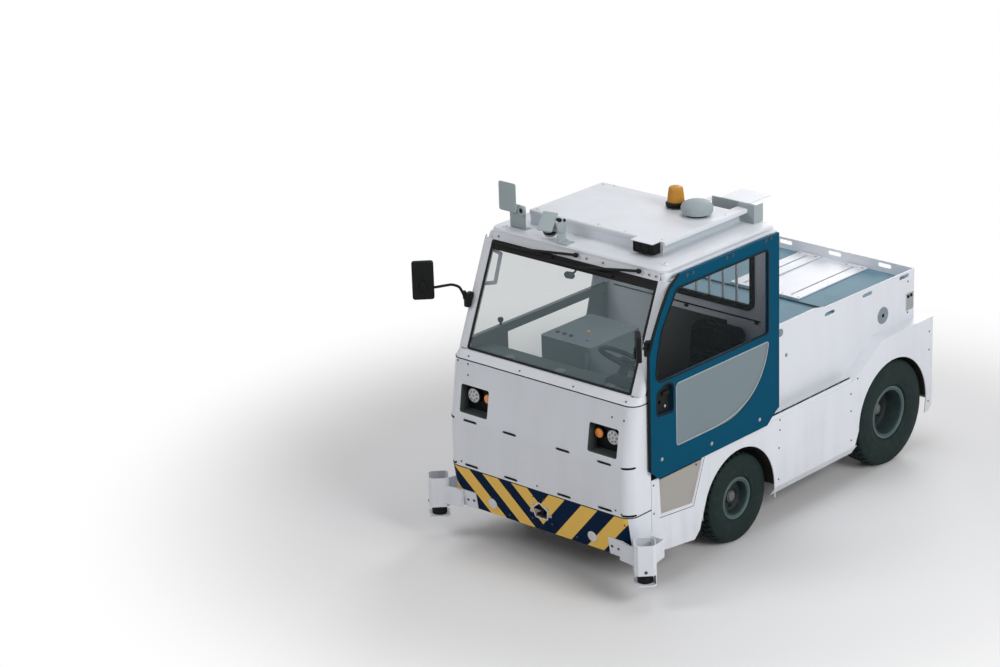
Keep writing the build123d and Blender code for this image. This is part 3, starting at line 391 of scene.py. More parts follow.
def painted_steel(name, color, roughness=0.36, dusty=1.0, **constants):
    """Sprayed paint: orange-peel bump, cloudy gloss, faint rain streaks, and road dust near the ground."""
    p = Paint(name, color, roughness, **constants)
    cloud = p.noise(2.3, 4)
    streak = p.noise(9, 3, (1, 1, 0.09))
    low = 1 - p.step(p.z, 0.12, 0.85)
    film = p.step(cloud * 0.7 + streak * 0.5, 0.45, 0.95) * (0.05 + low * 0.34) * dusty
    p.over(p.step(streak, 0.35, 0.8) * 0.16, dimmed(color, 0.86))
    p.over(film, (0.30, 0.27, 0.23))
    p.set("Roughness", roughness + cloud * 0.10 + film * 0.5)
    p.bump(p.noise(420, 2), 0.0004, 0.25)
    return p


white_coat = (0.75, 0.775, 0.83)
white = painted_steel("white_paint", white_coat)
blue = painted_steel("blue_paint", (0.0003, 0.068, 0.132), 0.45, dusty=0.05, specular_ior_level=0.04)
grey = painted_steel("grey_paint", (0.34, 0.345, 0.35), 0.45, dusty=0.5)
light_paint = painted_steel("scanner_paint", (0.35, 0.41, 0.43), 0.45, dusty=0.4)
grey_blue = painted_steel("ring_paint", (0.20, 0.25, 0.29), 0.45, dusty=0.2)
pale_blue = painted_steel("plug_paint", (0.55, 0.64, 0.74), 0.4, dusty=0.2)
recess_paint = painted_steel("recess_paint", (0.060, 0.078, 0.074), 0.5, dusty=0.3)
dark = painted_steel("chassis_paint", (0.028, 0.029, 0.032), 0.5, dusty=0.9)

# The cab frame: white, darker grey on the right side's bar and plates, and black behind the left front
# pillar, where the black is painted shade for the dark cab seen through the door's window
frame_paint = p = painted_steel("frame_paint", white_coat)
p.over((p.x < -0.60) * (p.y > -1.294) * (p.z < 1.24), (0.145, 0.155, 0.16))
behind = p.y - p.z * 0.4174 + 1.8252 > 0.012
# Painted shade: black on the white frame behind the screen's plane at the left pillar
p.over(behind * (p.x > 0.6) * (p.z > 1.17) * (p.z < 1.74) * (p.y < -0.98), (0.012, 0.012, 0.013))

# The roof tray: white sheet, with its walls under the lips painted grey-blue as painted shade under the
# overhanging lips
tray_paint = p = painted_steel("tray_paint", white_coat)
# Painted shade on the white walls under the lips
p.over((p.z < 1.912) * (p.y > -0.888), (0.50, 0.56, 0.59))

# The cab's rear wall: white, painted black low down behind the seat as painted shade for the dark cab seen
# through the door's window
wall_paint = p = painted_steel("wall_paint", white_coat)
# Painted shade: black on the white wall beside and below the seat
p.over((p.y < -0.0812) * (p.z < 1.195) * (p.x > -0.262) * (p.x < 0.300), (0.008, 0.008, 0.009))

# The side panels: white outside, and a dark coat on the arches' linings and the panels' inner faces
side_paint = p = painted_steel("side_paint", white_coat)
low = p.step((p.z < 0.6665) + (p.y > 0.72) * (p.z < 0.70), 0.2, 0.8)
p.over((abs(p.x) < 0.6772) * (p.z > 0.255) * low, (0.013, 0.012, 0.011))

# The console: a lighter lid over darker sides
console_paint = p = painted_steel("console_paint", (0.17, 0.22, 0.235), 0.5, dusty=0.3)
p.over(p.step(p.z, 1.2035, 1.2045), (0.25, 0.31, 0.34))

# The door rail: black inside, with its outer flange in the body's white
rail_paint = p = painted_steel("rail_paint", (0.012, 0.013, 0.014), 0.5, dusty=0.6)
p.over(p.x > 0.6735, white_coat)


def striped_steel():
    """The bumper's finish: slanted yellow and navy bands that meet in the middle, from x and z alone."""
    p = Paint("striped_paint", (0.88, 0.555, 0.125), 0.45, specular_ior_level=0.04)
    right_side = p.x < 0
    pitch, half_band = 0.242 - 0.020 * right_side, 0.060
    across = abs(p.x) + 0.93 * (0.468 - p.z) + 0.0035 - 0.0045 * right_side
    place = abs(across % pitch - pitch / 2)
    p.over(p.step(place, half_band - 0.0006, half_band + 0.0006), (0.0003, 0.0125, 0.044))
    p.over(abs(p.x) > 0.655, white_coat)
    cloud = p.noise(7, 4)
    p.over(p.step(cloud, 0.5, 0.85) * (1 - p.step(p.z, 0.24, 0.40)) * 0.06, (0.28, 0.25, 0.21))
    p.set("Roughness", 0.36 + cloud * 0.14)
    p.bump(p.noise(420, 2), 0.0004, 0.25)
    return p


def moulded_plastic(name, color, roughness=0.45):
    """Moulded plastic: a fine leather-like grain from cell distances and slightly uneven gloss."""
    p = Paint(name, color, roughness, specular_ior_level=0.13)
    cloud = p.noise(14, 4)
    p.over(p.step(cloud, 0.4, 0.8) * 0.35, tuple(c * 1.5 + 0.004 for c in color))
    p.set("Roughness", roughness + cloud * 0.16)
    p.bump(p.cells(900), 0.00025, 0.5)
    return p


def bare_steel(name, color, roughness):
    """Plain steel: a fine brushed bump, cloudy roughness and small darker stains."""
    p = Paint(name, color, roughness, metallic=1.0)
    brush = p.noise(260, 2, (1, 1, 0.05))
    stain = p.step(p.noise(38, 5), 0.52, 0.75)
    p.over(stain * 0.5, (0.21, 0.19, 0.17))
    p.set("Roughness", roughness + stain * 0.3 + brush * 0.1)
    p.bump(brush, 0.0002, 0.3)
    return p


def rubber_finish(name, color, roughness, dusty):
    """Rubber: matt and slightly mottled, greyer where dust has settled."""
    p = Paint(name, color, roughness, specular_ior_level=0.2)
    cloud = p.noise(22, 5)
    p.over(p.step(cloud, 0.46, 0.8) * dusty, (0.024, 0.044, 0.040))
    p.set("Roughness", roughness + cloud * 0.15)
    p.bump(p.noise(700, 2), 0.0004, 0.35)
    return p


def clear_sheet(name, color, alpha):
    """A tinted sheet seen through: its alpha thickens where wiped smears and dust lie."""
    p = Paint(name, color, 0.04, ior=1.5)
    smear = p.step(p.noise(3.2, 5, (1, 1, 0.5)), 0.45, 0.85)
    p.set("Alpha", alpha + smear * 0.05)
    p.set("Roughness", 0.04 + smear * 0.05)
    return p


def gritted_floor(name, color, scale=330):
    """An anti-slip coat: sharp grit from cell distances, worn smoother and darker in patches."""
    p = Paint(name, color, 0.7)
    grit = p.cells(scale)
    worn = p.step(p.noise(5, 5), 0.45, 0.75)
    p.over(worn * 0.4 + p.step(grit, 0.2, 0.7) * 0.22, dimmed(color, 0.62))
    p.set("Roughness", 0.78 - worn * 0.15)
    p.bump(grit, 0.0009, 0.6)
    return p


def padded_cover(name, color):
    """Seat cover: creased leather-cloth grain in two sizes with a dull sheen."""
    p = Paint(name, color, 0.6, specular_ior_level=0.06)
    crease = p.noise(16, 5)
    p.over(p.step(crease, 0.4, 0.75) * 0.4, dimmed(color, 1.6))
    p.set("Roughness", 0.55 + crease * 0.2)
    grain = p.bump(p.cells(330), 0.0004, 0.3)
    p.bump(crease, 0.004, 0.3, grain)
    return p


def lens(name, color, ribs=0.0, glow=0.0, coat=0.6):
    """A moulded lens: bright plastic, with fine upright ribs in its bump and, where asked, a glow of painted
    light.
    """
    p = Paint(name, color, 0.14, coat_weight=coat, specular_ior_level=0.1 + coat * 0.65)
    cloud = p.noise(60, 3)
    p.set("Roughness", 0.4 - coat * 0.5 + cloud * 0.1)
    p.over(cloud * 0.5, dimmed(color, 0.75))
    # Painted light: the lens gives off light in its own colour
    if glow:
        p.set("Emission Color", (*color, 1.0))
        p.set("Emission Strength", glow)
    if ribs:
        wave = p.node("ShaderNodeTexWave", {"bands_direction": "X"}, {"Vector": p.place, "Scale": ribs})
        p.bump(wave, 0.0008, 0.6)
    return p


def silvered_glass():
    """A mirror's face: bright metal with faint wiped smears in its gloss."""
    p = Paint("mirror_face", (0.80, 0.82, 0.83), 0.03, metallic=1.0)
    smear = p.step(p.noise(5, 4, (1, 1, 0.4)), 0.5, 0.85)
    p.over(smear * 0.12, (0.62, 0.63, 0.62))
    p.set("Roughness", 0.03 + smear * 0.07)
    return p


stripes = striped_steel()
black = moulded_plastic("black_plastic", (0.007, 0.0075, 0.008))
dash_plastic = moulded_plastic("dash_plastic", (0.12, 0.15, 0.15), 0.55)
light_plastic = moulded_plastic("grey_plastic", (0.30, 0.325, 0.335), 0.5)
dome_plastic = moulded_plastic("dome_plastic", (0.34, 0.395, 0.42), 0.5)
edge_plastic = moulded_plastic("edge_plastic", (0.34, 0.385, 0.40), 0.35)
steel = bare_steel("bolt_steel", (0.48, 0.48, 0.47), 0.3)
dark_steel = bare_steel("dark_steel", (0.09, 0.09, 0.095), 0.4)
# The tyre's rubber is tinted slightly teal: a painted tint of the shade's colour
tyre_rubber = rubber_finish("tyre_rubber", (0.007, 0.017, 0.0155), 0.62, 0.5)
seal_rubber = rubber_finish("seal_rubber", (0.006, 0.006, 0.006), 0.6, 0.15)
seat_cover = padded_cover("seat_cover", (0.004, 0.004, 0.0045))
step_coat = gritted_floor("step_coat", (0.40, 0.375, 0.345), 480)
floor_coat = gritted_floor("floor_coat", (0.10, 0.105, 0.11))
glass = clear_sheet("tinted_glass", (0.15, 0.23, 0.25), 0.24)
side_glass = clear_sheet("side_glass", (0.20, 0.23, 0.24), 0.08)
# The amber lenses and the beacon's lens glow with painted light
amber = lens("amber_lens", (0.80, 0.24, 0.02), glow=0.12)
beacon_lens = lens("beacon_lens", (0.56, 0.27, 0.045), glow=0.06, coat=0.05)
red = lens("red_lens", (0.45, 0.012, 0.010), ribs=60)
switch_blue = lens("blue_cap", (0.02, 0.09, 0.42))
reflector_disc = lens("reflector_disc", (0.74, 0.74, 0.76), ribs=90)
mirror_face = silvered_glass()

# The door's two panes: clear glass over the waist line and a milky grey sheet under it
door_panes = p = clear_sheet("door_sheets", (0.19, 0.25, 0.275), 0.02)
smear, low = p.noise(4, 5, (1, 1, 0.6)), p.z < 1.223
p.set("Alpha", 0.02 + low * (0.79 + smear * 0.08))
p.set("Roughness", 0.04 + low * (0.24 + smear * 0.1))

# The deck: grey-blue grit, white paint on the raised ribs and a bright strip between them, which is a painted
# reflection of the sky
deck_coat = p = gritted_floor("deck_coat", (0.137, 0.262, 0.340))
# White on the ribs, and on the strip between them a painted reflection
painted = p.step(p.z, 1.0975, 1.0985) + (abs(p.x) < 0.1) * (p.y > 0.666)
p.over(painted, (0.74, 0.76, 0.82))
p.set("Roughness", 0.66 - painted * 0.34)

# The slot of the pieces in each finish, where they name no other
for slot, finishes in (
        ("body_white", (white, pale_blue)),
        ("black_plastic", (black, dash_plastic, seal_rubber, recess_paint)),
        ("grey_box", (grey, grey_blue, light_paint, light_plastic, dome_plastic, edge_plastic)),
        ("pin_steel", (steel, dark_steel)),
        ("lamp_clear", (red, reflector_disc)),
        ("beacon_amber", (amber, beacon_lens)),
        ("door_blue", (blue, switch_blue)),
        ("seat_black", (seat_cover,)),
        ("glass", (mirror_face,)),
        ("tyre", (tyre_rubber,))):
    for finish in finishes:
        finish.slot = slot

# The CAD nodes in their finishes
for finish, names in (
        (white, "nose_panel cowl rear_box rear_panel header_panel roof_shell sensor_guards"),
        (tray_paint, "roof_tray"),
        (wall_paint, "cab_rear_wall"),
        (side_paint, "side_panel_left side_panel_right"),
        (frame_paint, "cab_frame"),
        (console_paint, "console_cabinet"),
        (rail_paint, "door_rail"),
        (stripes, "bumper_panel"),
        (blue, "door_left"),
        (dark, "chassis_frame front_axle rear_axle knuckle_left knuckle_right rear_coupling"),
        (steel, "rear_hitch_pin"),
        (black, "battery_block steering_column front_tow_jaw"),
        (dash_plastic, "dash"),
        (floor_coat, "cab_floor"),
        (deck_coat, "deck_plates"),
        (step_coat, "step_panels"),
        (glass, "windscreen"),
        (side_glass, "rear_window"),
        (door_panes, "door_glazing_left")):
    for name in names.split():
        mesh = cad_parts[name].data
        mesh.materials.clear()
        mesh.materials.append(finish.material)


# Tyres and rims
wheels = (
    # name, x, y and z of the centre, radius, width, bead radius, disc depth, hub face, bolt ring, bolts, lugs
    ("front", 0.565, (-0.425, 0.27), 0.270, 0.160, 0.112, -0.010, 0.0203, 0.066, 5, 38),
    ("rear", 0.575, (1.062, 0.336), 0.336, 0.190, 0.150, -0.058, -0.0147, 0.088, 8, 42),
)


def tyre_surface(radius, width, bead, lugs):
    """A tyre about Z: a closed profile carried round, its lugs cut by slanted grooves.

    A row at share x of the half width has radius r - depth floor(a) cut, where floor is 1 in the grooves
    between lugs, and its angles are moved by (shift + 0.4 x) of a lug, so the grooves run aslant.
    """
    half, wall, depth = width / 2, radius - bead, 0.011
    tread = [
        # share of the half width, radius, cut by grooves, shift
        (0.05, radius - depth, 0, 0.5), (0.07, radius, 1, 0.5), (0.25, radius, 1, 0.5),
        (0.43, radius - 0.001, 1, 0.5), (0.46, radius - depth, 0, 0.5), (0.52, radius - depth, 0, 0),
        (0.55, radius - 0.0015, 1, 0), (0.72, radius - 0.004, 1, 0)]
    shoulder = [(share, radius - drop) for share, drop in (
        (0.82, 0.008), (0.89, 0.015), (0.93, 0.026), (0.95, 0.036))]
    side = [
        # share of the half width, share of the side wall's height
        (0.957, 0.735), (0.972, 0.72), (0.982, 0.69), (0.978, 0.67), (0.992, 0.62), (1.0, 0.54),
        (0.99, 0.44), (0.972, 0.365), (0.978, 0.35), (0.968, 0.33), (0.945, 0.27), (0.90, 0.19),
        (0.902, 0.17), (0.87, 0.15), (0.82, 0.125), (0.745, 0.11), (0.735, 0.05)]
    plain = shoulder + [(share, bead + height * wall) for share, height in side] + [(0.735, bead + 0.0006)]
    rows = np.array(tread + [(*row, 0, 0) for row in plain])
    rows = np.concatenate([rows[::-1], rows * (-1, 1, 1, 1)])
    marks = np.array([0.0, 0.10, 0.17, 0.5, 0.83, 0.90])
    floor = np.array([1.0, 1, 0, 0, 0, 1])
    angle = (np.arange(lugs)[:, None] + marks[None]).ravel()
    r = rows[:, 1:2] - depth * rows[:, 2:3] * np.tile(floor, lugs)[None]
    a = (angle[None] + rows[:, 3:4] + 0.4 * rows[:, :1]) / lugs * turn
    across = np.broadcast_to(rows[:, :1] * half, a.shape)
    return skin(np.stack([r * np.cos(a), r * np.sin(a), across], -1), closed=True)


def rows_from(radius, height, offsets):
    """Profile rows, given by how far each is from one radius and height."""
    return [(radius + r, height + h) for r, h in offsets]


def rim_surface(width, bead, dish, hub, bolt_ring, bolts):
    """A rim about Z: flanges, lock ring, deep disc, hub and cap in one profile, and a nut on each stud."""
    edge = width / 2 * 0.74
    face = dish + 0.010
    profile = (
        rows_from(0, dish, [(0.0001, -0.002), (0.05, -0.002), (0.062, 0)])
        + rows_from(bead, dish, [(-0.020, 0), (-0.008, -0.006)])
        + rows_from(bead, -edge, [(-0.005, -0.004), (0.002, -0.0048), (0.013, -0.005), (0.015, -0.003),
                                  (0.015, -0.001), (0.0003, -0.0003)])
        + rows_from(bead, edge, [(0.0003, 0.0003), (0.0140, 0.0010), (0.0155, 0.0020), (0.0155, 0.0045),
                                 (0.0130, 0.0062), (0.0060, 0.0056), (0.0030, 0.0030), (0.0010, -0.0030),
                                 (-0.0020, -0.0035), (-0.0032, 0.0015), (-0.0055, 0.0028), (-0.0085, 0.0015),
                                 (-0.0098, -0.0040), (-0.0105, -0.016)])
        + rows_from(bead, face, [(-0.0115, 0.030), (-0.0135, 0.012), (-0.0190, 0.003), (-0.0270, 0)])
        + rows_from(0, face, [(0.063, 0), (0.060, 0.004), (0.046, 0.006), (0.040, 0.010)])
        + rows_from(0, hub, [(0.037, -0.004), (0.036, 0), (0.034, 0.002), (0.030, 0.003), (0.029, 0.009),
                             (0.024, 0.0125), (0.012, 0.0142), (0.0001, 0.0148)]))
    nut = join(hex_head(0.0115, 0.013), turned([(0.0055, 0.013), (0.0055, 0.021), (0.0001, 0.022)], 12))
    return join(turned(profile, 72), copies(nut, circle(bolt_ring, bolts, face)))


def rim_paint(name, centre, bead):
    """Wheel paint: grey on the flange and the lock ring, nearly black in the dish, and a worn grey hub."""
    p = Paint(name, (0.008, 0.015, 0.015), 0.45)
    dy, dz = p.y - centre[0], p.z - centre[1]
    radius = (dy * dy + dz * dz).root()
    cloud = p.noise(26, 5)
    p.over(p.step(radius, bead - 0.014, bead - 0.006), (0.060, 0.108, 0.110))
    p.over((1 - p.step(radius, 0.0335, 0.0365)) * (0.55 + cloud * 0.6), (0.125, 0.128, 0.126))
    p.over(p.step(cloud, 0.45, 0.8) * 0.25, (0.11, 0.105, 0.095))
    p.set("Roughness", 0.38 + cloud * 0.2)
    p.bump(p.noise(300, 3), 0.0005, 0.3)
    return p


for name, x, centre, radius, width, bead, dish, hub, bolt_ring, bolts, lugs in wheels:
    finish = rim_paint(f"{name}_wheel_paint", centre, bead)
    tyre = placed(tyre_surface(radius, width, bead, lugs), (x, *centre), leftwards)
    rim = placed(rim_surface(width, bead, dish, hub, bolt_ring, bolts), (x, *centre), leftwards)
    for side in ("left", "right"):
        body = f"wheel_{name}_{side}"
        piece(f"tyre_{name}_{side}_tread", tyre, tyre_rubber, body, [f"tyre_{name}_{side}"], sharp=28)
        piece(f"rim_{name}_{side}_shaped", rim, finish, body, [f"rim_{name}_{side}"], sharp=30)
        tyre, rim = mirrored(tyre), mirrored(rim)

# Places on the nose and the windscreen
upper_face, bumper_face = (0, -1, 0.159), (0, -1, -0.183)
nose_heights, nose_fronts = (0.246, 0.497, 0.796, 1.142, 1.186), (-1.401, -1.447, -1.447, -1.392, -1.352)
screen_out, screen_up = np.array((0, -0.9229, 0.3852)), np.array((0, 0.3852, 0.9229))
screen_middle = np.array((0, -1.2065, 1.48215))
screen_half, screen_height = 0.606, 0.6410
screen_axes = {"out": screen_out, "right": leftwards}


def nose_place(x, z, off=0.0):
    """A point off the nose's front face: y between the rows of its levels."""
    return x, float(np.interp(z, nose_heights, nose_fronts)) - off, z


def screen_place(x, up, off=0.0):
    """A point off the windscreen: x across and a distance up from its middle."""
    return screen_middle + screen_up * up + screen_out * off + (x, 0, 0)


def on_left(surface, origin):
    """A surface drawn with X to the rear and Y up, put on a face that looks to the left."""
    return placed(surface, origin, leftwards, rearwards)


def strip_section(half, low, high):
    """A strip's section: twice half wide, from low to high."""
    return [(-half, low), (half, low), (half, high), (-half, high)]


# Screws of the body
small_screw, small_bolt = button_head(0.0062, 0.0035), hex_head(0.0065, 0.0045)
nose_screws = [nose_place(x, z) for x, z in (
    (-0.549, 1.124), (-0.543, 1.061), (0.531, 1.065), (0.617, 1.063), (-0.627, 1.130))]
low_screws = [nose_place(x, z) for x, z in (
    (-0.580, 0.534), (-0.622, 0.520), (0.580, 0.534), (0.622, 0.520), (0.0, 0.530))]
cowl_screws = [(x, -1.3745, 1.1635) for x in (-0.560, -0.171, 0.227, 0.608)]
header_screws = [(x, -1.0855, 1.806) for x in (-0.564, 0.095, 0.215, 0.546, 0.595)]
bumper_screws = [nose_place(x, z) for x, z in (
    (-0.636, 0.455), (-0.636, 0.290), (0.636, 0.455), (0.636, 0.290), (-0.255, 0.268), (0.255, 0.268),
    (-0.075, 0.300), (0.075, 0.300), (-0.040, 0.452), (0.040, 0.452))]
side_screws = [(0.683, y, z) for y, z in (
    (0.622, 0.601), (0.624, 0.491), (-0.081, 0.660), (-0.081, 0.597), (-0.090, 0.487), (0.628, 0.300),
    (-0.095, 0.290), (1.440, 0.760), (1.440, 0.640), (1.440, 0.300), (-1.240, 0.640), (-1.240, 0.470),
    (-1.236, 0.290), (-0.860, 0.640), (0.690, 0.680))]
wall_screws = [(0.598, y, z) for y, z in (
    (-0.046, 1.057), (-0.046, 0.90), (-0.046, 0.74), (1.325, 1.10), (1.325, 0.90))]
piece("body_screws", join(
    fastened(small_screw, nose_screws, upper_face), fastened(small_screw, low_screws, forwards),
    fastened(small_screw, cowl_screws, (0, -0.707, 0.707)),
    fastened(small_screw, header_screws, (0, -0.9, 0.43)), fastened(small_screw, bumper_screws, bumper_face),
    both(fastened(small_screw, side_screws + wall_screws, leftwards))), dark_steel)

# Reflector discs and the tow opening's rim on the bumper
disc = turned([(0.033, 0), (0.0335, 0.003), (0.031, 0.0055), (0.012, 0.0068), (0.0001, 0.007)], 36)
disc_places = [nose_place(x, 0.310) for x in (-0.377, 0.377)]
piece("bumper_discs", fastened(disc, disc_places, bumper_face), reflector_disc)
tow_line = softened([(-0.042, -0.046), (0.042, -0.046), (0.054, 0.010), (0.0, 0.052), (-0.054, 0.010)],
                    0.004, 3)
tow_rim = border(grown(tow_line, 0.006), 0.007, 0.003)
piece("tow_opening_rim", placed(tow_rim, nose_place(0, 0.3675, 0.0005), bumper_face), white)
tow_bolts = [nose_place(x, z) for x, z in ((-0.07, 0.352), (0.07, 0.352), (-0.055, 0.398), (0.055, 0.398))]
piece("tow_opening_bolts", fastened(hex_head(0.008, 0.006), tow_bolts, bumper_face), steel)


# Seams and slots of the nose
def nose_seam(z, front_y):
    """A strip that follows the nose's front, its rounded corners and both sides at one height."""
    half_x, corner, side_end = 0.683, 0.067, -1.262
    t = np.linspace(0, turn / 4, 9)
    arc = np.stack([half_x - corner + corner * np.sin(t), front_y + corner - corner * np.cos(t)], -1)
    line = np.concatenate([[(-half_x, side_end)], (-1, 1) * arc[::-1], arc, [(half_x, side_end)]])
    path = np.concatenate([line, np.full((len(line), 1), z)], 1)
    return swept(path, strip_section(0.0022, -0.0028, 0.0028))


def corner_slot(z, front_y):
    """A dark slot round the left front corner, with rounded ends that thin out."""
    corner, around, steps = 0.067, 0.0672, 17
    t = np.linspace(math.radians(4), math.radians(84), steps)
    path = np.stack([0.616 + around * np.sin(t), front_y + corner - around * np.cos(t),
                     np.full(steps, z)], -1)
    height = 0.0065 * np.sqrt(1 - 0.94 * np.linspace(-1, 1, steps) ** 6)
    outward = np.stack([np.sin(t), -np.cos(t), 0 * t], -1)
    section = np.array([(-1, 0.0), (-0.8, 0.9), (0.8, 0.9), (1, 0.0), (0.8, -0.9), (-0.8, -0.9)])
    rings = (path[:, None] + outward[:, None] * 0.0006 * section[None, :, 1:]
             + np.array((0, 0, 1.0)) * height[:, None, None] * section[None, :, :1])
    return skin(rings, first_lid=True, last_lid=True)


piece("nose_seams", join(nose_seam(1.145, -1.3905), nose_seam(0.500, -1.4455)), seal_rubber)
piece("corner_slots", both(join(corner_slot(0.796, -1.447), corner_slot(0.512, -1.447))), black)
slot_edge = border(grown(oval(0.094, 0.012, 8), 0.0035), 0.0040, 0.0012, 0.0004)
slot_places = [nose_place(x, z, -0.0004) for x in (-0.502, -0.200, 0.200, 0.502) for z in (0.796, 0.520)]
piece("slot_edges", join(*[placed(slot_edge, place, bumper_face) for place in slot_places]), black)

# Lamps: white ones with a ring of light points, amber ones beside them, in black housings
recess_y = -1.3562
white_at, amber_at = (0.521, recess_y, 0.935), (0.415, recess_y, 0.935)
housing = turned([(0.050, 0), (0.050, 0.026), (0.047, 0.030), (0.044, 0.030), (0.043, 0.022),
                  (0.0001, 0.020)], 44)
amber_housing = turned([(0.034, 0), (0.034, 0.020), (0.031, 0.024), (0.029, 0.024), (0.028, 0.018),
                        (0.0001, 0.016)], 36)
white_lamp = turned([(0.0425, 0.020), (0.0425, 0.028), (0.040, 0.0315), (0.020, 0.0335), (0.0001, 0.034)], 44)
amber_lamp = turned([(0.0282, 0.016), (0.0282, 0.026), (0.025, 0.030), (0.012, 0.032), (0.0001, 0.0325)], 36)
light_cup = turned([(0.0075, 0.0315), (0.0080, 0.0338), (0.0062, 0.0346), (0.0001, 0.0348)], 14)
ring_points = np.concatenate([circle(0.026, 7)[:, [0, 2, 1]], np.zeros((1, 3))])


def recess_liner():
    """The left lamp recess's lining: its outline from the floor to the nose's slanted face, 1.2 mm thick."""
    outer = rectangle(0.2116, 0.1656, 0.0138) + (0.481, 0.921)
    inner = outer + 0.0012 * inward(outer)
    rings = []
    for line, at_back in ((outer, True), (outer, False), (inner, False), (inner, True)):
        y = np.array([recess_y if at_back else nose_place(x, z, -0.0006)[1] for x, z in line])
        rings.append(np.stack([line[:, 0], y, line[:, 1]], -1))
    return skin(rings, closed=True)


piece("lamp_recess_liners", both(recess_liner()), recess_paint)
piece("lamp_backs", both(join(
    placed(plate(0.206, 0.160, 0.012, 0.006, 0.002), (0.481, recess_y + 0.0015, 0.921), forwards),
    placed(housing, white_at, forwards), placed(amber_housing, amber_at, forwards))), black)
piece("head_lamps", both(placed(white_lamp, white_at, forwards)), reflector_disc, replaces=["lamps"])
piece("head_lamp_cups", both(fastened(light_cup, ring_points + white_at, forwards)), light_plastic)
piece("turn_lamps", both(placed(amber_lamp, amber_at, forwards)), amber)

# Windscreen: rubber all round, a dark band above, and the wipers
screen_outline = rectangle(2 * screen_half, screen_height, 0.022, 6)
screen_rubber = border(grown(screen_outline, 0.004), 0.016, 0.005, 0.0015)
band = plate(1.19, 0.046, 0.004, 0.0012)
piece("windscreen_rubber", placed(screen_rubber, screen_place(0, 0, 0.0002), **screen_axes), seal_rubber)
piece("windscreen_band", placed(band, screen_place(0, 0.291, 0.0006), **screen_axes), black)


def pillar_cover():
    """The left screen pillar's cover: a rounded angle of (x, y behind the glass) that climbs with the glass.

    At height z the glass's face is at y = y0 + slope (z - z0), and each point of the section is y behind it.
    """
    corner, reach, thick, inner_x, steps = 0.684, 0.030, 0.0018, 0.6115, 9
    t = np.linspace(0, turn / 4, 8)
    outer = [(corner - reach + reach * math.sin(a), -0.0045 + reach - reach * math.cos(a)) for a in t]
    inner = [(x - thick * math.sin(a), y + thick * math.cos(a)) for (x, y), a in zip(outer, t)]
    section = np.array([(inner_x, -0.0045)] + outer + [(corner, 0.028), (corner - thick, 0.028)] + inner[::-1]
                       + [(inner_x, -0.0027)])
    z = np.linspace(1.188, 1.7865, steps)
    y = screen_middle[1] + (z - screen_middle[2]) * screen_up[1] / screen_up[2]
    shape = (steps, len(section))
    rings = np.stack([np.broadcast_to(section[:, 0], shape), y[:, None] + section[None, :, 1],
                      np.broadcast_to(z[:, None], shape)], -1)
    return skin(rings, first_lid=True, last_lid=True)


piece("pillar_covers", both(pillar_cover()), white)


def wiper(pivot_x, start_x, end_x, z):
    """A wiper folded up to the glass's top: pivot cap, tapered arm, bridge and blade."""
    up = (z - screen_middle[2]) / screen_up[2]
    pivot, middle = screen_place(pivot_x, 0.351, 0.030), screen_place((start_x + end_x) / 2, up, 0.026)
    start, end = screen_place(start_x, up, 0.011), screen_place(end_x, up, 0.011)
    over = screen_out * 0.007
    cap = turned([(0.013, -0.012), (0.014, 0.004), (0.012, 0.010), (0.005, 0.013), (0.0001, 0.0135)], 20)
    arm_path = [pivot, pivot * 0.85 + middle * 0.15 + over, middle * 0.6 + pivot * 0.4 + over, middle]
    bridge_path = [start * 0.75 + middle * 0.25, (start + middle) / 2 + over, middle,
                   (end + middle) / 2 + over, end * 0.75 + middle * 0.25]
    arm = swept(softened(arm_path, 0.03, 4, closed=False),
                [(-0.008, -0.003), (0.008, -0.003), (0.006, 0.003), (-0.006, 0.003)], up=screen_out)
    bridge = swept(softened(bridge_path, 0.02, 3, closed=False),
                   [(-0.006, -0.002), (0.006, -0.002), (0.005, 0.0025), (-0.005, 0.0025)], up=screen_out)
    blade = swept(straight(start, end, 12),
                  [(-0.007, 0.004), (0.007, 0.004), (0.004, -0.002), (0.001, -0.0095), (-0.001, -0.0095),
                   (-0.004, -0.002)], up=screen_out)
    return join(placed(cap, pivot, screen_out), arm, bridge, blade)


piece("wiper_pair", join(wiper(0.027, -0.600, -0.150, 1.764), wiper(0.482, -0.165, 0.300, 1.748)), black,
      replaces=["wipers"])

# Mirrors
pillar_x, pillar_y = 0.634, -1.2254
driverwards = np.array((1, 1, 0)) / math.sqrt(2)


def mirror_set(height, centre, bends):
    """A left mirror: bevelled housing, bent arm, clamp behind the housing, block on the pillar and knob."""
    arm_path = [(pillar_x + x, pillar_y + y, z) for x, y, z in bends]
    return join(
        placed(plate(0.126, height, 0.018, 0.030, 0.010, 6, 4), centre - driverwards * 0.015, (1, 1, 0)),
        round_bar(softened(arm_path, 0.016, 4, closed=False), 0.0078, 14),
        placed(plate(0.040, 0.060, 0.008, 0.020, 0.005), centre - driverwards * 0.024 - (0, 0, 0.035),
               (1, 1, 0)),
        placed(plate(0.056, 0.085, 0.009, 0.034, 0.006), (pillar_x + 0.016, pillar_y - 0.016, 1.4475),
               leftwards),
        placed(turned([(0.013, 0), (0.014, 0.012), (0.010, 0.018), (0.0001, 0.019)], 18),
               (pillar_x + 0.044, pillar_y - 0.043, 1.486)))


def mirror_glass(height, centre):
    """A left mirror's reflecting face, on the side towards the driver."""
    glass = plate(0.112, height - 0.014, 0.014, 0.0015, 0.0004)
    return placed(glass, centre + driverwards * 0.0148, (1, 1, 0))


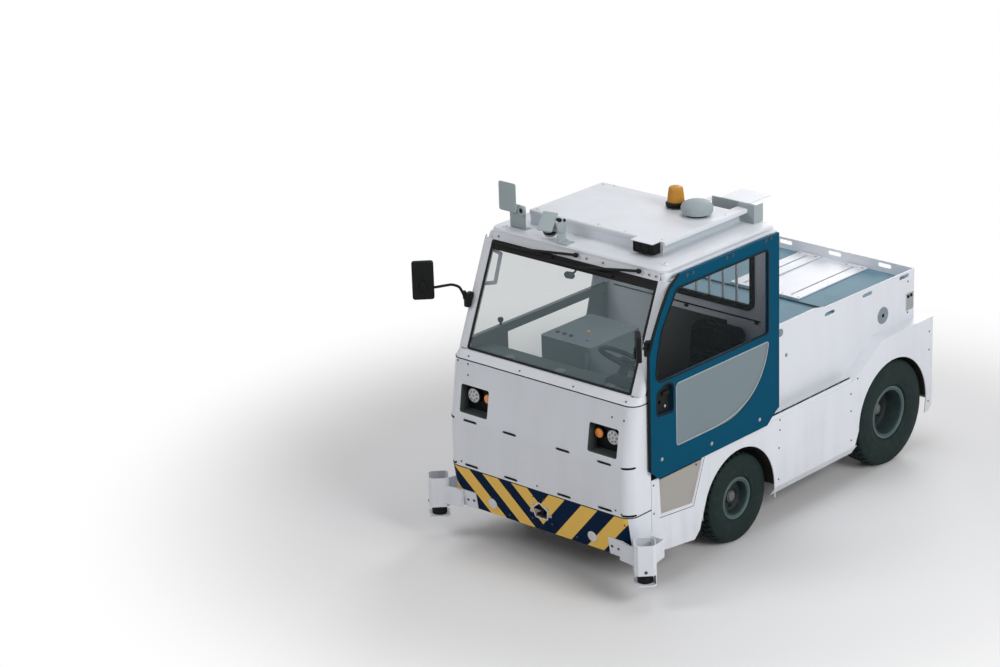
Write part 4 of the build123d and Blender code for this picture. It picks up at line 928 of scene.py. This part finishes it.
far_mirror = np.array((pillar_x + 0.208, pillar_y - 0.206, 1.580))
near_mirror = np.array((pillar_x + 0.116, pillar_y - 0.206, 1.534))
far_bends = [(0.044, -0.042, 1.455), (0.044, -0.044, 1.478), (0.062, -0.060, 1.530), (0.092, -0.090, 1.546),
             (0.166, -0.164, 1.532), (0.196, -0.194, 1.545)]
near_bends = [(0.044, -0.042, 1.455), (0.046, -0.052, 1.468), (0.058, -0.090, 1.480), (0.076, -0.150, 1.486),
              (0.092, -0.200, 1.492), (0.099, -0.218, 1.498)]
piece("mirror_housings", join(
    mirror_set(0.152, near_mirror, near_bends),
    mirrored(mirror_set(0.232, far_mirror, far_bends))), black, replaces=["mirrors"])
piece("mirror_faces", join(
    mirror_glass(0.152, near_mirror), mirrored(mirror_glass(0.232, far_mirror))), mirror_face)

# Roof: scanners with their visors and brackets, camera box, beacon, dome and tray
roof, tray_top, tray_edge = 1.846, 1.930, 1.9165


def bent_plate(path, width, up=(1, 0, 0)):
    """A folded sheet strip, 4 mm thick: a path with rounded bends and a flat section across it."""
    return swept(softened(path, 0.008, 4, closed=False), strip_section(0.002, -width / 2, width / 2), up=up)


def tilted(x, y, z):
    """A direction of the tilted scanner's own, turned to the scene's."""
    turned_by = Matrix.Rotation(math.radians(34), 3, "X") @ Matrix.Rotation(math.radians(14.5), 3, "Y")
    return np.array(turned_by @ Vector((x, y, z)))


eye_place = (-0.450, -1.0035, roof + 0.116)
upright_bracket = join(
    bent_plate([(-0.485, -0.960, roof + 0.003), (-0.485, -1.002, roof + 0.003),
                (-0.485, -1.002, roof + 0.110)], 0.118),
    placed(plate(0.120, 0.092, 0.014, 0.005, 0.001), (-0.485, -0.9995, roof + 0.098), forwards),
    placed(plate(0.128, 0.172, 0.014, 0.006, 0.0015), (-0.540, -1.0225, roof + 0.186), forwards),
    placed(plate(0.054, 0.028, 0.004, 0.020, 0.002), (-0.503, -1.0035, roof + 0.128), forwards),
    placed(tube(0.030, 0.015, 0.014), eye_place, forwards))
tilt_centre = np.array((-0.203, -1.052, roof + 0.072))
tilt_out, tilt_right = tilted(0, 0, 1), tilted(1, 0, 0)
visor_right = tilted(math.cos(math.radians(15)), math.sin(math.radians(15)), 0)
tilted_bracket = join(
    bent_plate([(-0.062, -1.035, roof + 0.003), (-0.130, -1.035, roof + 0.003),
                (-0.130, -1.035, roof + 0.100)], 0.070, rearwards),
    placed(turned([(0.036, 0), (0.040, 0.004), (0.040, 0.010), (0.034, 0.014), (0.0001, 0.015)], 36),
           (-0.133, -1.035, roof + 0.092), leftwards),
    placed(plate(0.090, 0.132, 0.008, 0.005, 0.001), tilt_centre + tilted(0, 0, 0.0595), tilt_out,
           visor_right),
    placed(turned([(0.018, 0), (0.018, 0.055)], 20), (-0.185, -1.045, roof + 0.074), leftwards))
piece("scanner_brackets", join(upright_bracket, tilted_bracket), light_paint, replaces=["roof_sensors"])
drum = turned([(0.036, -0.034), (0.041, -0.031), (0.0425, -0.018), (0.0400, -0.016), (0.0400, 0.012),
               (0.0425, 0.014), (0.0425, 0.030), (0.039, 0.034), (0.0001, 0.035)], 40)
piece("scanner_drums", placed(drum, tilt_centre - tilt_out * 0.002, tilt_out, tilt_right), light_plastic)
piece("scanner_windows", join(
    placed(turned([(0.0148, 0), (0.0148, 0.004), (0.012, 0.0065), (0.0001, 0.007)], 28), eye_place, forwards),
    placed(tube(0.0406, 0.0395, 0.026), tilt_centre - tilt_out * 0.0165, tilt_out, tilt_right),
    placed(plate(0.030, 0.018, 0.004, 0.016, 0.002), (-0.128, -1.050, roof + 0.128), (0, -0.5, 1)),
    placed(turned([(0.008, 0), (0.009, 0.010), (0.006, 0.014), (0.0001, 0.015)], 16),
           (-0.120, -1.020, roof + 0.120), (0.3, 0, 1))), black)
camera_eye = turned([(0.016, 0), (0.017, 0.004), (0.014, 0.007), (0.009, 0.006), (0.0001, 0.0055)], 28)
camera_z = roof + 0.046
piece("camera_box", join(
    placed(plate(0.150, 0.064, 0.008, 0.060, 0.004, 4), (0.394, -0.890, camera_z), forwards),
    placed(border(rectangle(0.138, 0.052, 0.006), 0.006, 0.004), (0.394, -0.950, camera_z), forwards),
    fastened(camera_eye, [(x, -0.9495, camera_z) for x in (0.360, 0.420)], forwards)), black)
beacon_place, dome_place = (0.152, -0.360, tray_top), (0.337, -0.400, tray_top)
piece("beacon_base", placed(join(
    copies(turned([(0.007, 0), (0.007, 0.013), (0.0001, 0.0135)], 12), circle(0.046, 3)),
    turned([(0.030, 0.010), (0.058, 0.010), (0.060, 0.013), (0.060, 0.026), (0.057, 0.031), (0.051, 0.036),
            (0.0001, 0.037)], 40)), beacon_place), black, replaces=["beacon"])


def ribbed_lens():
    """The beacon's lens: radius r + w cos(26 t) at angle t. The ribs' depth w fades at the top."""
    ribs = 26
    a = np.arange(ribs * 6) / (ribs * 6) * turn
    r, h = np.array([(0.0475, 0.036), (0.0475, 0.045), (0.0445, 0.075), (0.0410, 0.105), (0.0390, 0.117),
                     (0.034, 0.1225), (0.024, 0.1250), (0.010, 0.126), (0.0005, 0.126)]).T
    wave = r[:, None] + (0.0020 * np.clip(r / 0.045, 0, 1) ** 3)[:, None] * np.cos(ribs * a)[None]
    return skin(np.stack([wave * np.cos(a), wave * np.sin(a), np.broadcast_to(h[:, None], wave.shape)], -1),
                first_lid=True, last_lid=True)


piece("beacon_lens", placed(ribbed_lens(), beacon_place), beacon_lens, sharp=60)
dome_foot = turned([(0.066, 0), (0.068, 0.003), (0.066, 0.0105), (0.0001, 0.011)], 40)
dome = turned([(0.060, 0.010), (0.076, 0.0105), (0.085, 0.014), (0.0905, 0.023), (0.0925, 0.036),
               (0.0920, 0.050), (0.0885, 0.061), (0.0810, 0.0700), (0.0680, 0.0780), (0.0480, 0.0845),
               (0.0240, 0.0880), (0.0001, 0.0890)], 56)
piece("dome_foot", placed(dome_foot, dome_place), black)
piece("antenna_dome_shaped", placed(dome, dome_place), dome_plastic, replaces=["antenna_dome"])


def tray_lip(start, end, outwards):
    """A rolled lip along one of the tray's edges: its section carried from start to end, bulging outwards."""
    lip = np.array([(0.0, -0.012), (0.003, -0.0135), (0.0065, -0.010), (0.0075, 0.0), (0.0065, 0.009),
                    (0.003, 0.0125), (0.0, 0.0125)])
    ends = np.array([(*start, tray_edge), (*end, tray_edge)])
    flat = np.array(outwards, float)
    rings = ends[:, None] + flat * lip[None, :, :1] + np.array((0, 0, 1.0)) * lip[None, :, 1:]
    return skin(rings, first_lid=True, last_lid=True)


piece("tray_lips", join(
    tray_lip((0.4904, -0.888), (0.4904, -0.062), (1, 0, 0)),
    tray_lip((-0.4904, -0.252), (-0.4904, -0.888), (-1, 0, 0)),
    tray_lip((-0.488, -0.8904), (0.306, -0.8904), (0, -1, 0)),
    tray_lip((0.188, -0.2496), (-0.488, -0.2496), (0, 1, 0))), white)
# The wing's stand is white sheet like the tray; its grey finish is painted shade
piece("wing_stand", join(
    placed(plate(0.192, 0.104, 0.003, 0.003), (0.328, -0.1275, 1.9025), forwards),
    placed(plate(0.118, 0.106, 0.003, 0.003), (0.487, -0.140, 1.900), forwards),
    placed(plate(0.080, 0.106, 0.003, 0.003), (0.5430, -0.100, 1.900), leftwards),
    placed(plate(0.054, 0.006, 0.002, 0.003), (0.5185, -0.143, 1.849), forwards)), light_paint)
feet = [(-0.559, -1.013), (-0.12, -0.997), (0.583, -0.988)]
tray_tops = [(-0.386, -0.262), (-0.46, -0.86), (0.0, -0.86), (0.46, -0.86), (0.465, -0.30), (0.20, -0.862),
             (-0.46, -0.275)]
roof_bolts = [(x, y, tray_top) for x, y in tray_tops] + [(x, y, roof + 0.004) for x, y in feet]
tray_bolts = [(-0.488, y, 1.893) for y in (-0.326, -0.60, -0.83)]
piece("roof_feet", copies(plate(0.050, 0.036, 0.005, 0.004, 0.001), [(x, y, roof) for x, y in feet]), white)
piece("roof_screws", join(
    copies(small_bolt, roof_bolts), fastened(small_bolt, tray_bolts, (-1, 0, 0))), steel)

# Door: rubbers, rims, handle pocket, latch and bolts
door_x, pane_x = 0.7098, 0.6895
window_line = softened([(-1.050, 1.752), (-1.106, 1.662), (-1.184, 1.544), (-1.225, 1.401), (-1.239, 1.279),
                        (-1.201, 1.246), (-0.227, 1.246), (-0.227, 1.752)], 0.022)
lower_line = softened([(-0.700, 0.822), (-1.066, 0.822), (-1.066, 1.200), (-0.210, 1.200), (-0.235, 1.090),
                       (-0.300, 0.980), (-0.388, 0.900), (-0.530, 0.843)],
                      (0.001, 0.028, 0.028, 0.028, 0.05, 0.05, 0.05, 0.05))[::-1]
pocket_line = softened([(-1.232, 1.056), (-1.092, 1.044), (-1.090, 1.210), (-1.150, 1.222),
                        (-1.228, 1.190)], 0.024)
edge_path = softened([(0.700, y, z) for y, z in (
    (-1.290, 0.742), (-1.290, 1.421), (-1.251, 1.520), (-1.183, 1.647), (-1.109, 1.759),
    (-1.020, 1.822))], 0.03, 4, closed=False)
window_rubber = border(grown(window_line, 0.004), 0.010, 0.005, 0.0015)
lower_rim = border(lower_line, 0.010, 0.004, 0.001)
edge_rubber = swept(edge_path, [(-0.008, -0.003), (0.008, -0.003), (0.0075, 0.003), (0.0, 0.005),
                                (-0.0075, 0.003)], up=rearwards)
piece("door_window_rubber", on_left(window_rubber, (door_x, 0, 0)), seal_rubber, "door_left")
piece("door_lower_rim", on_left(lower_rim, (0.7030, 0, 0)), edge_plastic, "door_left")
piece("door_edge_rubber", edge_rubber, seal_rubber, "door_left")
piece("door_handle_pocket", join(
    on_left(slab(grown(pocket_line, 0.004), 0.002), (0.6878, 0, 0)),
    on_left(border(grown(pocket_line, 0.007), 0.010, 0.003, 0.001), (door_x, 0, 0))), black, "door_left")
piece("door_latch", join(
    on_left(plate(0.060, 0.024, 0.010, 0.012, 0.004), (pane_x, -1.140, 1.165)),
    on_left(turned([(0.009, 0), (0.009, 0.012), (0.007, 0.014), (0.0001, 0.0145)], 18),
            (pane_x, -1.185, 1.120))), black, "door_left")
door_bolt = hex_head(0.0075, 0.005)
top_bolts = [(0.710, y, z) for y, z in ((-0.956, 1.802), (-0.907, 1.803), (-0.605, 1.807), (-0.551, 1.807),
                                        (-0.249, 1.810), (-0.203, 1.812))]
low_bolts = [(0.710, y, z) for y, z in ((-0.753, 0.739), (-0.309, 0.742), (-1.196, 0.790))]
latch_key = turned([(0.008, 0), (0.008, 0.006), (0.0001, 0.0065)], 18)
piece("door_bolts", fastened(door_bolt, top_bolts, leftwards), dark_steel, "door_left")
piece("door_low_bolts", join(
    fastened(door_bolt, low_bolts, leftwards),
    on_left(latch_key, (0.6900, -1.145, 1.089))), steel, "door_left")
door_fold = swept(straight((door_x, -1.250, 0.722), (door_x, -0.200, 0.722), 8),
                  [(-0.0012, -0.004), (0.0012, -0.002), (0.0012, 0.002), (-0.0012, 0.004)])
piece("door_fold", door_fold, blue, "door_left")


# Frames round the step panels
def step_strip(rows, half, height):
    """A flat strip on the left side panel along a path of (y, z) rows."""
    path = softened([(0.6832, y, z) for y, z in rows], 0.008, 4, closed=False)
    return swept(path, strip_section(half, -0.0008, height), up=leftwards)


step_flange = step_strip([(-1.180, 0.438), (-0.897, 0.4085), (-0.7985, 0.664)], 0.0055, 0.0026)
step_seam = step_strip([(-1.190, 0.427), (-0.889, 0.3965), (-0.7865, 0.662)], 0.0016, 0.0006)
piece("step_flanges", both(step_flange), white)
piece("step_seams", both(step_seam), seal_rubber)

# Corner scanners in their guards
corner_x, corner_y = 0.778, -1.440
scanner = turned([(0.042, 0), (0.044, 0.004), (0.044, 0.030), (0.0415, 0.034), (0.0405, 0.052),
                  (0.0415, 0.070), (0.044, 0.074), (0.044, 0.150), (0.040, 0.158), (0.0001, 0.160)], 44)
piece("corner_scanners_shaped", both(placed(scanner, (corner_x, corner_y, 0.158))), black,
      replaces=["corner_scanners"])
corner_out = np.array((1, -1, 0)) / math.sqrt(2)
link_bolts = [nose_place(x, z, 0.006) for x, z in ((0.522, 0.290), (0.568, 0.284))]
piece("guard_bolts", both(join(
    placed(small_bolt, corner_out * 0.061 + (corner_x, corner_y, 0.236), corner_out),
    fastened(small_bolt, link_bolts, bumper_face),
    fastened(small_bolt, [(0.689, -1.230, z) for z in (0.312, 0.268)], leftwards))), dark_steel)

# Rear window: a wide rubber gasket on both faces of the wall, and a dark seam with clips under it
gasket = border(grown(rectangle(0.960, 0.400, 0.040, 6), 0.024), 0.036, 0.009, 0.002)
piece("rear_window_gasket", join(placed(gasket, (0, -0.0828, 1.510), forwards),
                                 placed(gasket, (0, -0.0782, 1.510), rearwards)), seal_rubber)
wall_seam = swept(straight((-0.560, -0.0835, 1.236), (0.545, -0.0835, 1.236), 3),
                  strip_section(0.003, -0.004, 0.004))
wall_clip = plate(0.022, 0.016, 0.003, 0.012, 0.002)
wall_clips = fastened(wall_clip, [(0.0, -0.083, 1.224), (0.520, -0.083, 1.226)], forwards)
piece("rear_wall_seam", join(wall_seam, wall_clips), black)

# Box wall: the filler port, two plugs and the socket plate at the rear corner
box_x, port_at = 0.598, (0.598, 1.062, 0.955)
port_ring = turned([(0.0385, 0), (0.053, 0), (0.053, 0.003), (0.051, 0.005), (0.041, 0.005),
                    (0.0385, 0.003)], 48)
port_plug = turned([(0.0390, -0.006), (0.0390, 0.001), (0.035, 0.0025), (0.012, 0.003), (0.0001, 0.003)], 40)
ring_seal = turned([(0.016, 0), (0.024, 0), (0.024, 0.003), (0.016, 0.003)], 32)
plug = turned([(0.012, 0), (0.012, 0.0015), (0.008, 0.003), (0.0001, 0.0032)], 24)
socket = turned([(0.0001, 0.002), (0.006, 0.002), (0.0065, 0.006), (0.0095, 0.006), (0.010, 0.004),
                 (0.010, 0)], 24)
socket_places = [(0.599, 1.326, 1.002), (0.599, 1.358, 1.004)]
socket_outline = rectangle(0.080, 0.112, 0.004) + (1.344, 0.968)
piece("wall_rings", both(join(on_left(port_ring, port_at), on_left(ring_seal, (box_x, 0.035, 1.147)),
                              on_left(plug, (box_x, 0.092, 0.992)))), grey_blue)
piece("port_plugs", both(on_left(port_plug, port_at)), pale_blue)
piece("socket_plates", both(on_left(slab(socket_outline, 0.0012), (box_x, 0, 0))), grey)
piece("socket_lips", both(on_left(border(grown(socket_outline, 0.003), 0.004, 0.003), (box_x, 0, 0))), white)
piece("sockets", both(fastened(socket, socket_places, leftwards, rearwards)), black)

# Deck: a dark seam between the plates with its hinge, and studs on the ribs' ends
deck_line = straight((-0.588, 0.641, 1.0958), (0.470, 0.641, 1.0958), 3)
hinge_pin = turned([(0.008, 0), (0.008, 0.052), (0.0001, 0.053)], 16)
piece("deck_seam", join(
    swept(deck_line, strip_section(0.0045, -0.001, 0.0012)),
    placed(plate(0.056, 0.036, 0.004, 0.007, 0.002), (0.488, 0.664, 1.095)),
    placed(hinge_pin, (0.462, 0.648, 1.099), leftwards)), black)
studs = [(x, y, 1.105) for x in (-0.120, 0.120, -0.240, 0.240) for y in (0.690, 1.350)]
piece("deck_studs", copies(small_bolt, studs), steel)

# Door track: clips over the rail's flanges
clip_places = [(x, y, 0.6972) for x in (0.6590, 0.6755) for y in (-0.051, 0.097, 0.238, 0.382, 0.522)]
piece("track_clips", copies(plate(0.0068, 0.012, 0.001, 0.0022, 0.0006), clip_places), steel)

# Rear: lamps in their rings, bolts on the coupling and the pin's ring
rear_y = 1.478
red_at, low_amber_at = (0.610, rear_y, 0.780), (0.610, rear_y, 0.680)
lamp_ring = turned([(0.0425, 0), (0.045, 0.002), (0.045, 0.010), (0.0425, 0.015), (0.0395, 0.016),
                    (0.0385, 0.010)], 44)
rear_lens = turned([(0.0390, 0.001), (0.0390, 0.012), (0.034, 0.0165), (0.018, 0.0185), (0.0001, 0.019)], 44)
piece("rear_lamp_rings", both(fastened(lamp_ring, [red_at, low_amber_at], rearwards)), black)
piece("rear_lamps_red", both(placed(rear_lens, red_at, rearwards)), red)
piece("rear_lamps_amber", both(placed(rear_lens, low_amber_at, rearwards)), amber)
rear_screws = [(x, rear_y, z) for x in (-0.640, 0.640, -0.30, 0.30) for z in (0.815, 0.560, 0.325)]
coupling_bolts = [(x, 1.490, z) for x in (-0.070, 0.070) for z in (0.335, 0.445, 0.555)]
piece("rear_fasteners", join(fastened(small_screw, rear_screws, rearwards),
                             fastened(hex_head(0.011, 0.008), coupling_bolts, rearwards)), dark_steel)
pin_ring = round_bar(circle(0.024, 28)[:, [0, 2, 1]], 0.0035, 10, closed=True, up=rearwards)
piece("hitch_pin_ring", placed(pin_ring, (0, 1.512, 0.652)), steel, "hitch_pin")

# Cab: vents, pod and switches on the dash, caps and a plate on the console, mirror, knob and pedals
dash_up = (0, -0.082, 0.9966)
vent = join(turned([(0.0235, 0), (0.031, 0), (0.031, 0.003), (0.028, 0.005), (0.0245, 0.004)], 32),
            turned([(0.0001, 0.0005), (0.024, 0.0005), (0.024, 0.001), (0.0001, 0.001)], 24),
            *[placed(plate(0.044 - 0.010 * abs(k), 0.003, 0.001, 0.0025, 0.0005), (0, 0.010 * k, 0.001))
              for k in (-1, 0, 1)])
vent_places = [(x, -1.250, 1.1695) for x in (-0.354, 0.020, 0.394)]
piece("dash_vents", fastened(vent, vent_places, dash_up), light_plastic)
piece("dash_pod", join(
    placed(plate(0.250, 0.100, 0.020, 0.036, 0.010), (0.455, -1.185, 1.160), dash_up),
    placed(plate(0.110, 0.058, 0.006, 0.003, 0.001), (0.410, -1.185, 1.195), dash_up)), black)
rocker = plate(0.018, 0.030, 0.004, 0.007, 0.003)
rocker_places = [(x, -1.172, 1.1948) for x in (0.496, 0.522, 0.548)]
piece("dash_switches", fastened(rocker, rocker_places, dash_up), light_plastic)
lid_cap = turned([(0.013, 0), (0.013, 0.003), (0.009, 0.006), (0.0001, 0.0062)], 20)
# The yellow cap takes the amber finish and glows with its painted light
for name, finish, places in (("console_caps", black, ((-0.340, -0.850), (-0.288, -0.852), (-0.236, -0.855))),
                             ("console_yellow_cap", amber, ((-0.195, -0.742),)),
                             ("console_blue_cap", switch_blue, ((-0.116, -0.849),))):
    piece(name, copies(lid_cap, [(x, y, 1.205) for x, y in places]), finish)
piece("console_plate", join(
    placed(plate(0.026, 0.115, 0.004, 0.004, 0.001), (-0.042, -0.9448, 1.117), forwards, (0.995, 0, -0.10)),
    placed(border(rectangle(0.330, 0.400, 0.010), 0.003, 0.0015), (-0.203, -0.9448, 0.955), forwards)),
    light_plastic)
mirror_bar = softened([(-0.066, -1.034, 1.668), (-0.030, -1.032, 1.690), (-0.012, -1.038, 1.778)], 0.02, 4,
                      closed=False)
piece("cab_mirror", join(
    placed(slab(oval(0.066, 0.042, 16), 0.014, 0.005), (-0.069, -1.040, 1.665), (0.25, -1, -0.1)),
    round_bar(mirror_bar, 0.006, 10),
    placed(plate(0.050, 0.070, 0.006, 0.030, 0.006), (0.020, -1.030, 1.745), forwards)), dash_plastic)
knob = turned([(0.009, 0), (0.007, 0.012), (0.015, 0.022), (0.018, 0.034), (0.013, 0.044),
               (0.0001, 0.047)], 24)
piece("bar_knob", placed(knob, (-0.634, -1.016, 1.2335)), black)
pedal = join(placed(plate(0.070, 0.095, 0.012, 0.010, 0.003), (0, -1.225, 0.505), (0, 0.80, 0.60), leftwards),
             round_bar(straight((0, -1.238, 0.500), (0, -1.335, 0.640), 3), 0.009, 10))
piece("pedals", copies(pedal, [(0.200, 0, 0), (0.345, 0, 0)]), black)


# Seat: two pads swelled by the cloth solver, then their channels, their piping and the back's frame
def mesh_points(mesh):
    """A mesh's points as rows."""
    flat = np.empty(len(mesh.vertices) * 3)
    mesh.vertices.foreach_get("co", flat)
    return flat.reshape(-1, 3)


def solved(pad):
    """A pad as its modifiers leave it."""
    return pad.evaluated_get(bpy.context.evaluated_depsgraph_get())


def applied(pad):
    """Applies a pad's modifiers and gives its points."""
    made = bpy.data.meshes.new_from_object(solved(pad))
    pad.modifiers.clear()
    pad.data = made
    return mesh_points(made)


def swelled(surface, low, high):
    """A pad remeshed at 6 mm and blown up: p = clip(start + move min(1, most / |move|), low, high)."""
    frames, pressure, most = 20, 4.0, 0.024
    pad = thing_from("pad", surface)
    remesh = pad.modifiers.new("remesh", "REMESH")
    remesh.mode = "VOXEL"
    remesh.voxel_size = 0.006
    start = applied(pad)
    end = start
    cloth = pad.modifiers.new("cloth", "CLOTH")
    cloth.settings.use_pressure = True
    cloth.settings.uniform_pressure_force = pressure
    cloth.settings.effector_weights.gravity = 0
    cloth.point_cache.frame_end = frames
    for step in range(1, frames + 1):
        bpy.context.scene.frame_set(step)
    end = mesh_points(solved(pad).data)
    pad.modifiers.clear()
    bpy.context.scene.frame_set(1)
    move = end - start
    reach = np.linalg.norm(move, axis=1, keepdims=True) + 1e-9
    end = np.clip(start + move * np.minimum(1, most / reach), low, high)
    pad.data.vertices.foreach_set("co", end.ravel())
    smooth = pad.modifiers.new("smooth", "SUBSURF")
    smooth.levels = smooth.render_levels = 1
    points = applied(pad)
    corners = np.empty(len(pad.data.loops), int)
    pad.data.loops.foreach_get("vertex_index", corners)
    bpy.data.objects.remove(pad)
    return points, [corners.reshape(-1, 4)]


def channelled(surface, lines, axis, inside):
    """Sewn channels in a pad's upper side: z falls by depth exp(-(distance to a line / width)^2) inside."""
    depth = width = 0.007
    points = surface[0].copy()
    fall = sum(np.exp(-((points[:, axis] - line) / width) ** 2) for line in lines)
    window = 1 / (1 + np.exp((np.abs(points[:, 1 - axis]) - inside) / 0.006))
    points[:, 2] -= depth * fall * window * (points[:, 2] > points[:, 2].mean())
    return points, surface[1]


def piping(surface, outline):
    """Piping sewn on a pad: a cord along an outline, at the height of the pad's upper side there."""
    points = surface[0][surface[0][:, 2] > surface[0][:, 2].mean()]
    near = ((outline[:, None] - points[None, :, :2]) ** 2).sum(-1).argmin(1)
    height = points[near, 2]
    height = (np.roll(height, 1) + height + np.roll(height, -1)) / 3
    return round_bar(np.concatenate([outline, height[:, None]], 1), 0.0032, 8, closed=True)


seat_start = plate(0.408, 0.400, 0.060, 0.086, 0.026, 6, 4)
seat_pad = swelled(seat_start, (-0.220, -0.216, 0), (0.220, 0.216, 0.1095))
seat_pad = channelled(seat_pad, (-0.070, 0.0, 0.070), 0, 0.165)
back_start = plate(0.398, 0.386, 0.100, 0.052, 0.020, 6, 4)
back_pad = swelled(back_start, (-0.213, -0.208, 0), (0.213, 0.208, 0.076))
back_pad = channelled(back_pad, (-0.110, -0.040, 0.030), 1, 0.145)
seat_at, seat_out = (0.300, -0.484, 0.7906), upwards
back_at, back_out = (0.300, -0.1609, 1.0220), (0, -0.9942, 0.1076)
for name, pad, at, out, node in (("seat_cushion_pad", seat_pad, seat_at, seat_out, "seat_cushion"),
                                 ("seat_back_pad", back_pad, back_at, back_out, "seat_back")):
    cover = piece(name, placed(pad, at, out, leftwards), seat_cover, replaces=[node], sharp=80)
shell_at = np.array(back_at) - 0.016 * np.array(back_out)
back_shell = placed(plate(0.350, 0.350, 0.050, 0.0165, 0.006, 6), shell_at, back_out, leftwards)
leg_path = softened([(0, -0.240, 0.7985), (0, -0.170, 0.7985), (0, -0.152, 0.930)], 0.020, closed=False)
legs = copies(round_bar(leg_path, 0.0085, up=leftwards), [(0.185, 0, 0), (0.415, 0, 0)])
piece("seat_back_frame", join(back_shell, legs), black)
piece("seat_piping", join(
    placed(piping(seat_pad, rectangle(0.350, 0.345, 0.045, 8)), seat_at, seat_out, leftwards),
    placed(piping(back_pad, rectangle(0.325, 0.320, 0.070, 8)), back_at, back_out, leftwards)), seat_cover)

# Steering wheel
spoke_rows = ((0.030, -0.012), (0.10, -0.006), (0.160, 0.0))
spokes = [swept([(reach * math.cos(a), reach * math.sin(a), height) for reach, height in spoke_rows],
                [(-0.012, -0.003), (0.012, -0.003), (0.010, 0.003), (-0.010, 0.003)])
          for a in map(math.radians, (90, 210, 330))]
boss = turned([(0.026, -0.040), (0.030, -0.034), (0.030, -0.016), (0.044, -0.012), (0.046, 0.002),
               (0.040, 0.008), (0.020, 0.012), (0.0001, 0.0125)], 36)
steering = join(round_bar(circle(0.170, 64), 0.0128, 16, closed=True), boss, *spokes)
piece("steering_wheel_shaped", placed(steering, (0.300, -0.985, 1.215), (0, 0.64, 0.77), leftwards), black,
      "steering_wheel", replaces=["steering_wheel"])


# Studio: floor, lamps, sky and camera
clear_rays = ("Camera", "Glossy", "Transmission")


def pale_floor():
    """A pale floor that shows white to the camera, to gloss and through glass, and still takes the shadow."""
    grid = np.stack(np.meshgrid([-40.0, 40.0], [-40.0, 40.0], indexing="ij") + [np.zeros((2, 2))], -1)
    points, faces = skin(grid, around=False)
    floor = thing_from("studio_floor", (points, [faces[0][:, ::-1]]))
    p = Paint("studio_floor", (0.86, 0.86, 0.87), 0.9)
    seen, gloss, through = (p.node("ShaderNodeLightPath", {}, (), f"Is {ray} Ray") for ray in clear_rays)
    white_part = (seen + gloss + through > 0.5) * p.step((p.x * p.x + p.y * p.y).root(), 2.1, 3.8)
    glow = p.node("ShaderNodeEmission", {}, {"Color": (1.0, 1.0, 1.0, 1.0), "Strength": 1.0})
    mixed = p.node("ShaderNodeMixShader", {}, {0: white_part, 1: Field(p, p.shader.outputs[0]), 2: glow})
    p.fill(p.tree.nodes["Material Output"].inputs["Surface"], mixed)
    floor.data.materials.append(p.material)


def soft_lamp(name, place, aim, size, power):
    """A square soft lamp at a place, aimed at a point."""
    light = bpy.data.lights.new(name, "AREA")
    light.shape = "SQUARE"
    light.size = size
    light.energy = power
    lamp = bpy.data.objects.new(name, light)
    lamp.location = place
    lamp.rotation_euler = (Vector(aim) - Vector(place)).to_track_quat("-Z", "Y").to_euler()
    bpy.context.scene.collection.objects.link(lamp)


pale_floor()
soft_lamp("key_lamp", (-4.0, -7.5, 7.5), (0, -0.3, 0.9), 4.0, 215)
soft_lamp("side_lamp", (8.5, -1.5, 5.5), (0, 0.2, 0.9), 4.5, 490)
soft_lamp("top_lamp", (0.5, 0.8, 8.0), (0, 0, 1.2), 4.0, 125)
soft_lamp("back_lamp", (-3.0, 8.0, 5.0), (0, 0, 1.0), 4.0, 280)

# The sky: full white to the same rays as the floor, and a faint light to all others
scene = bpy.context.scene
scene.world = bpy.data.worlds.new("studio")
scene.world.use_nodes = True
sky = scene.world.node_tree
rays = sky.nodes.new("ShaderNodeLightPath")
seen = rays.outputs[f"Is {clear_rays[0]} Ray"]
for ray in clear_rays[1:]:
    either = sky.nodes.new("ShaderNodeMath")
    either.operation = "MAXIMUM"
    sky.links.new(seen, either.inputs[0])
    sky.links.new(rays.outputs[f"Is {ray} Ray"], either.inputs[1])
    seen = either.outputs[0]
level = sky.nodes.new("ShaderNodeMapRange")
level.inputs["To Min"].default_value = 0.18
sky.links.new(seen, level.inputs["Value"])
background = sky.nodes["Background"]
background.inputs["Color"].default_value = (1, 1, 1, 1)
sky.links.new(level.outputs["Result"], background.inputs["Strength"])

scene.view_settings.view_transform = "Standard"
camera = bpy.data.objects.new("camera", bpy.data.cameras.new("camera"))
scene.collection.objects.link(camera)
camera.location = (10.520, -13.096, 7.252)
camera.rotation_euler = (math.radians(69.461), math.radians(1.343), math.radians(40.673))
camera.data.sensor_width = 36.0
camera.data.lens = 108.72
camera.data.shift_x = -0.0776
camera.data.shift_y = 0.0114
camera.data.clip_end = 200
scene.camera = camera
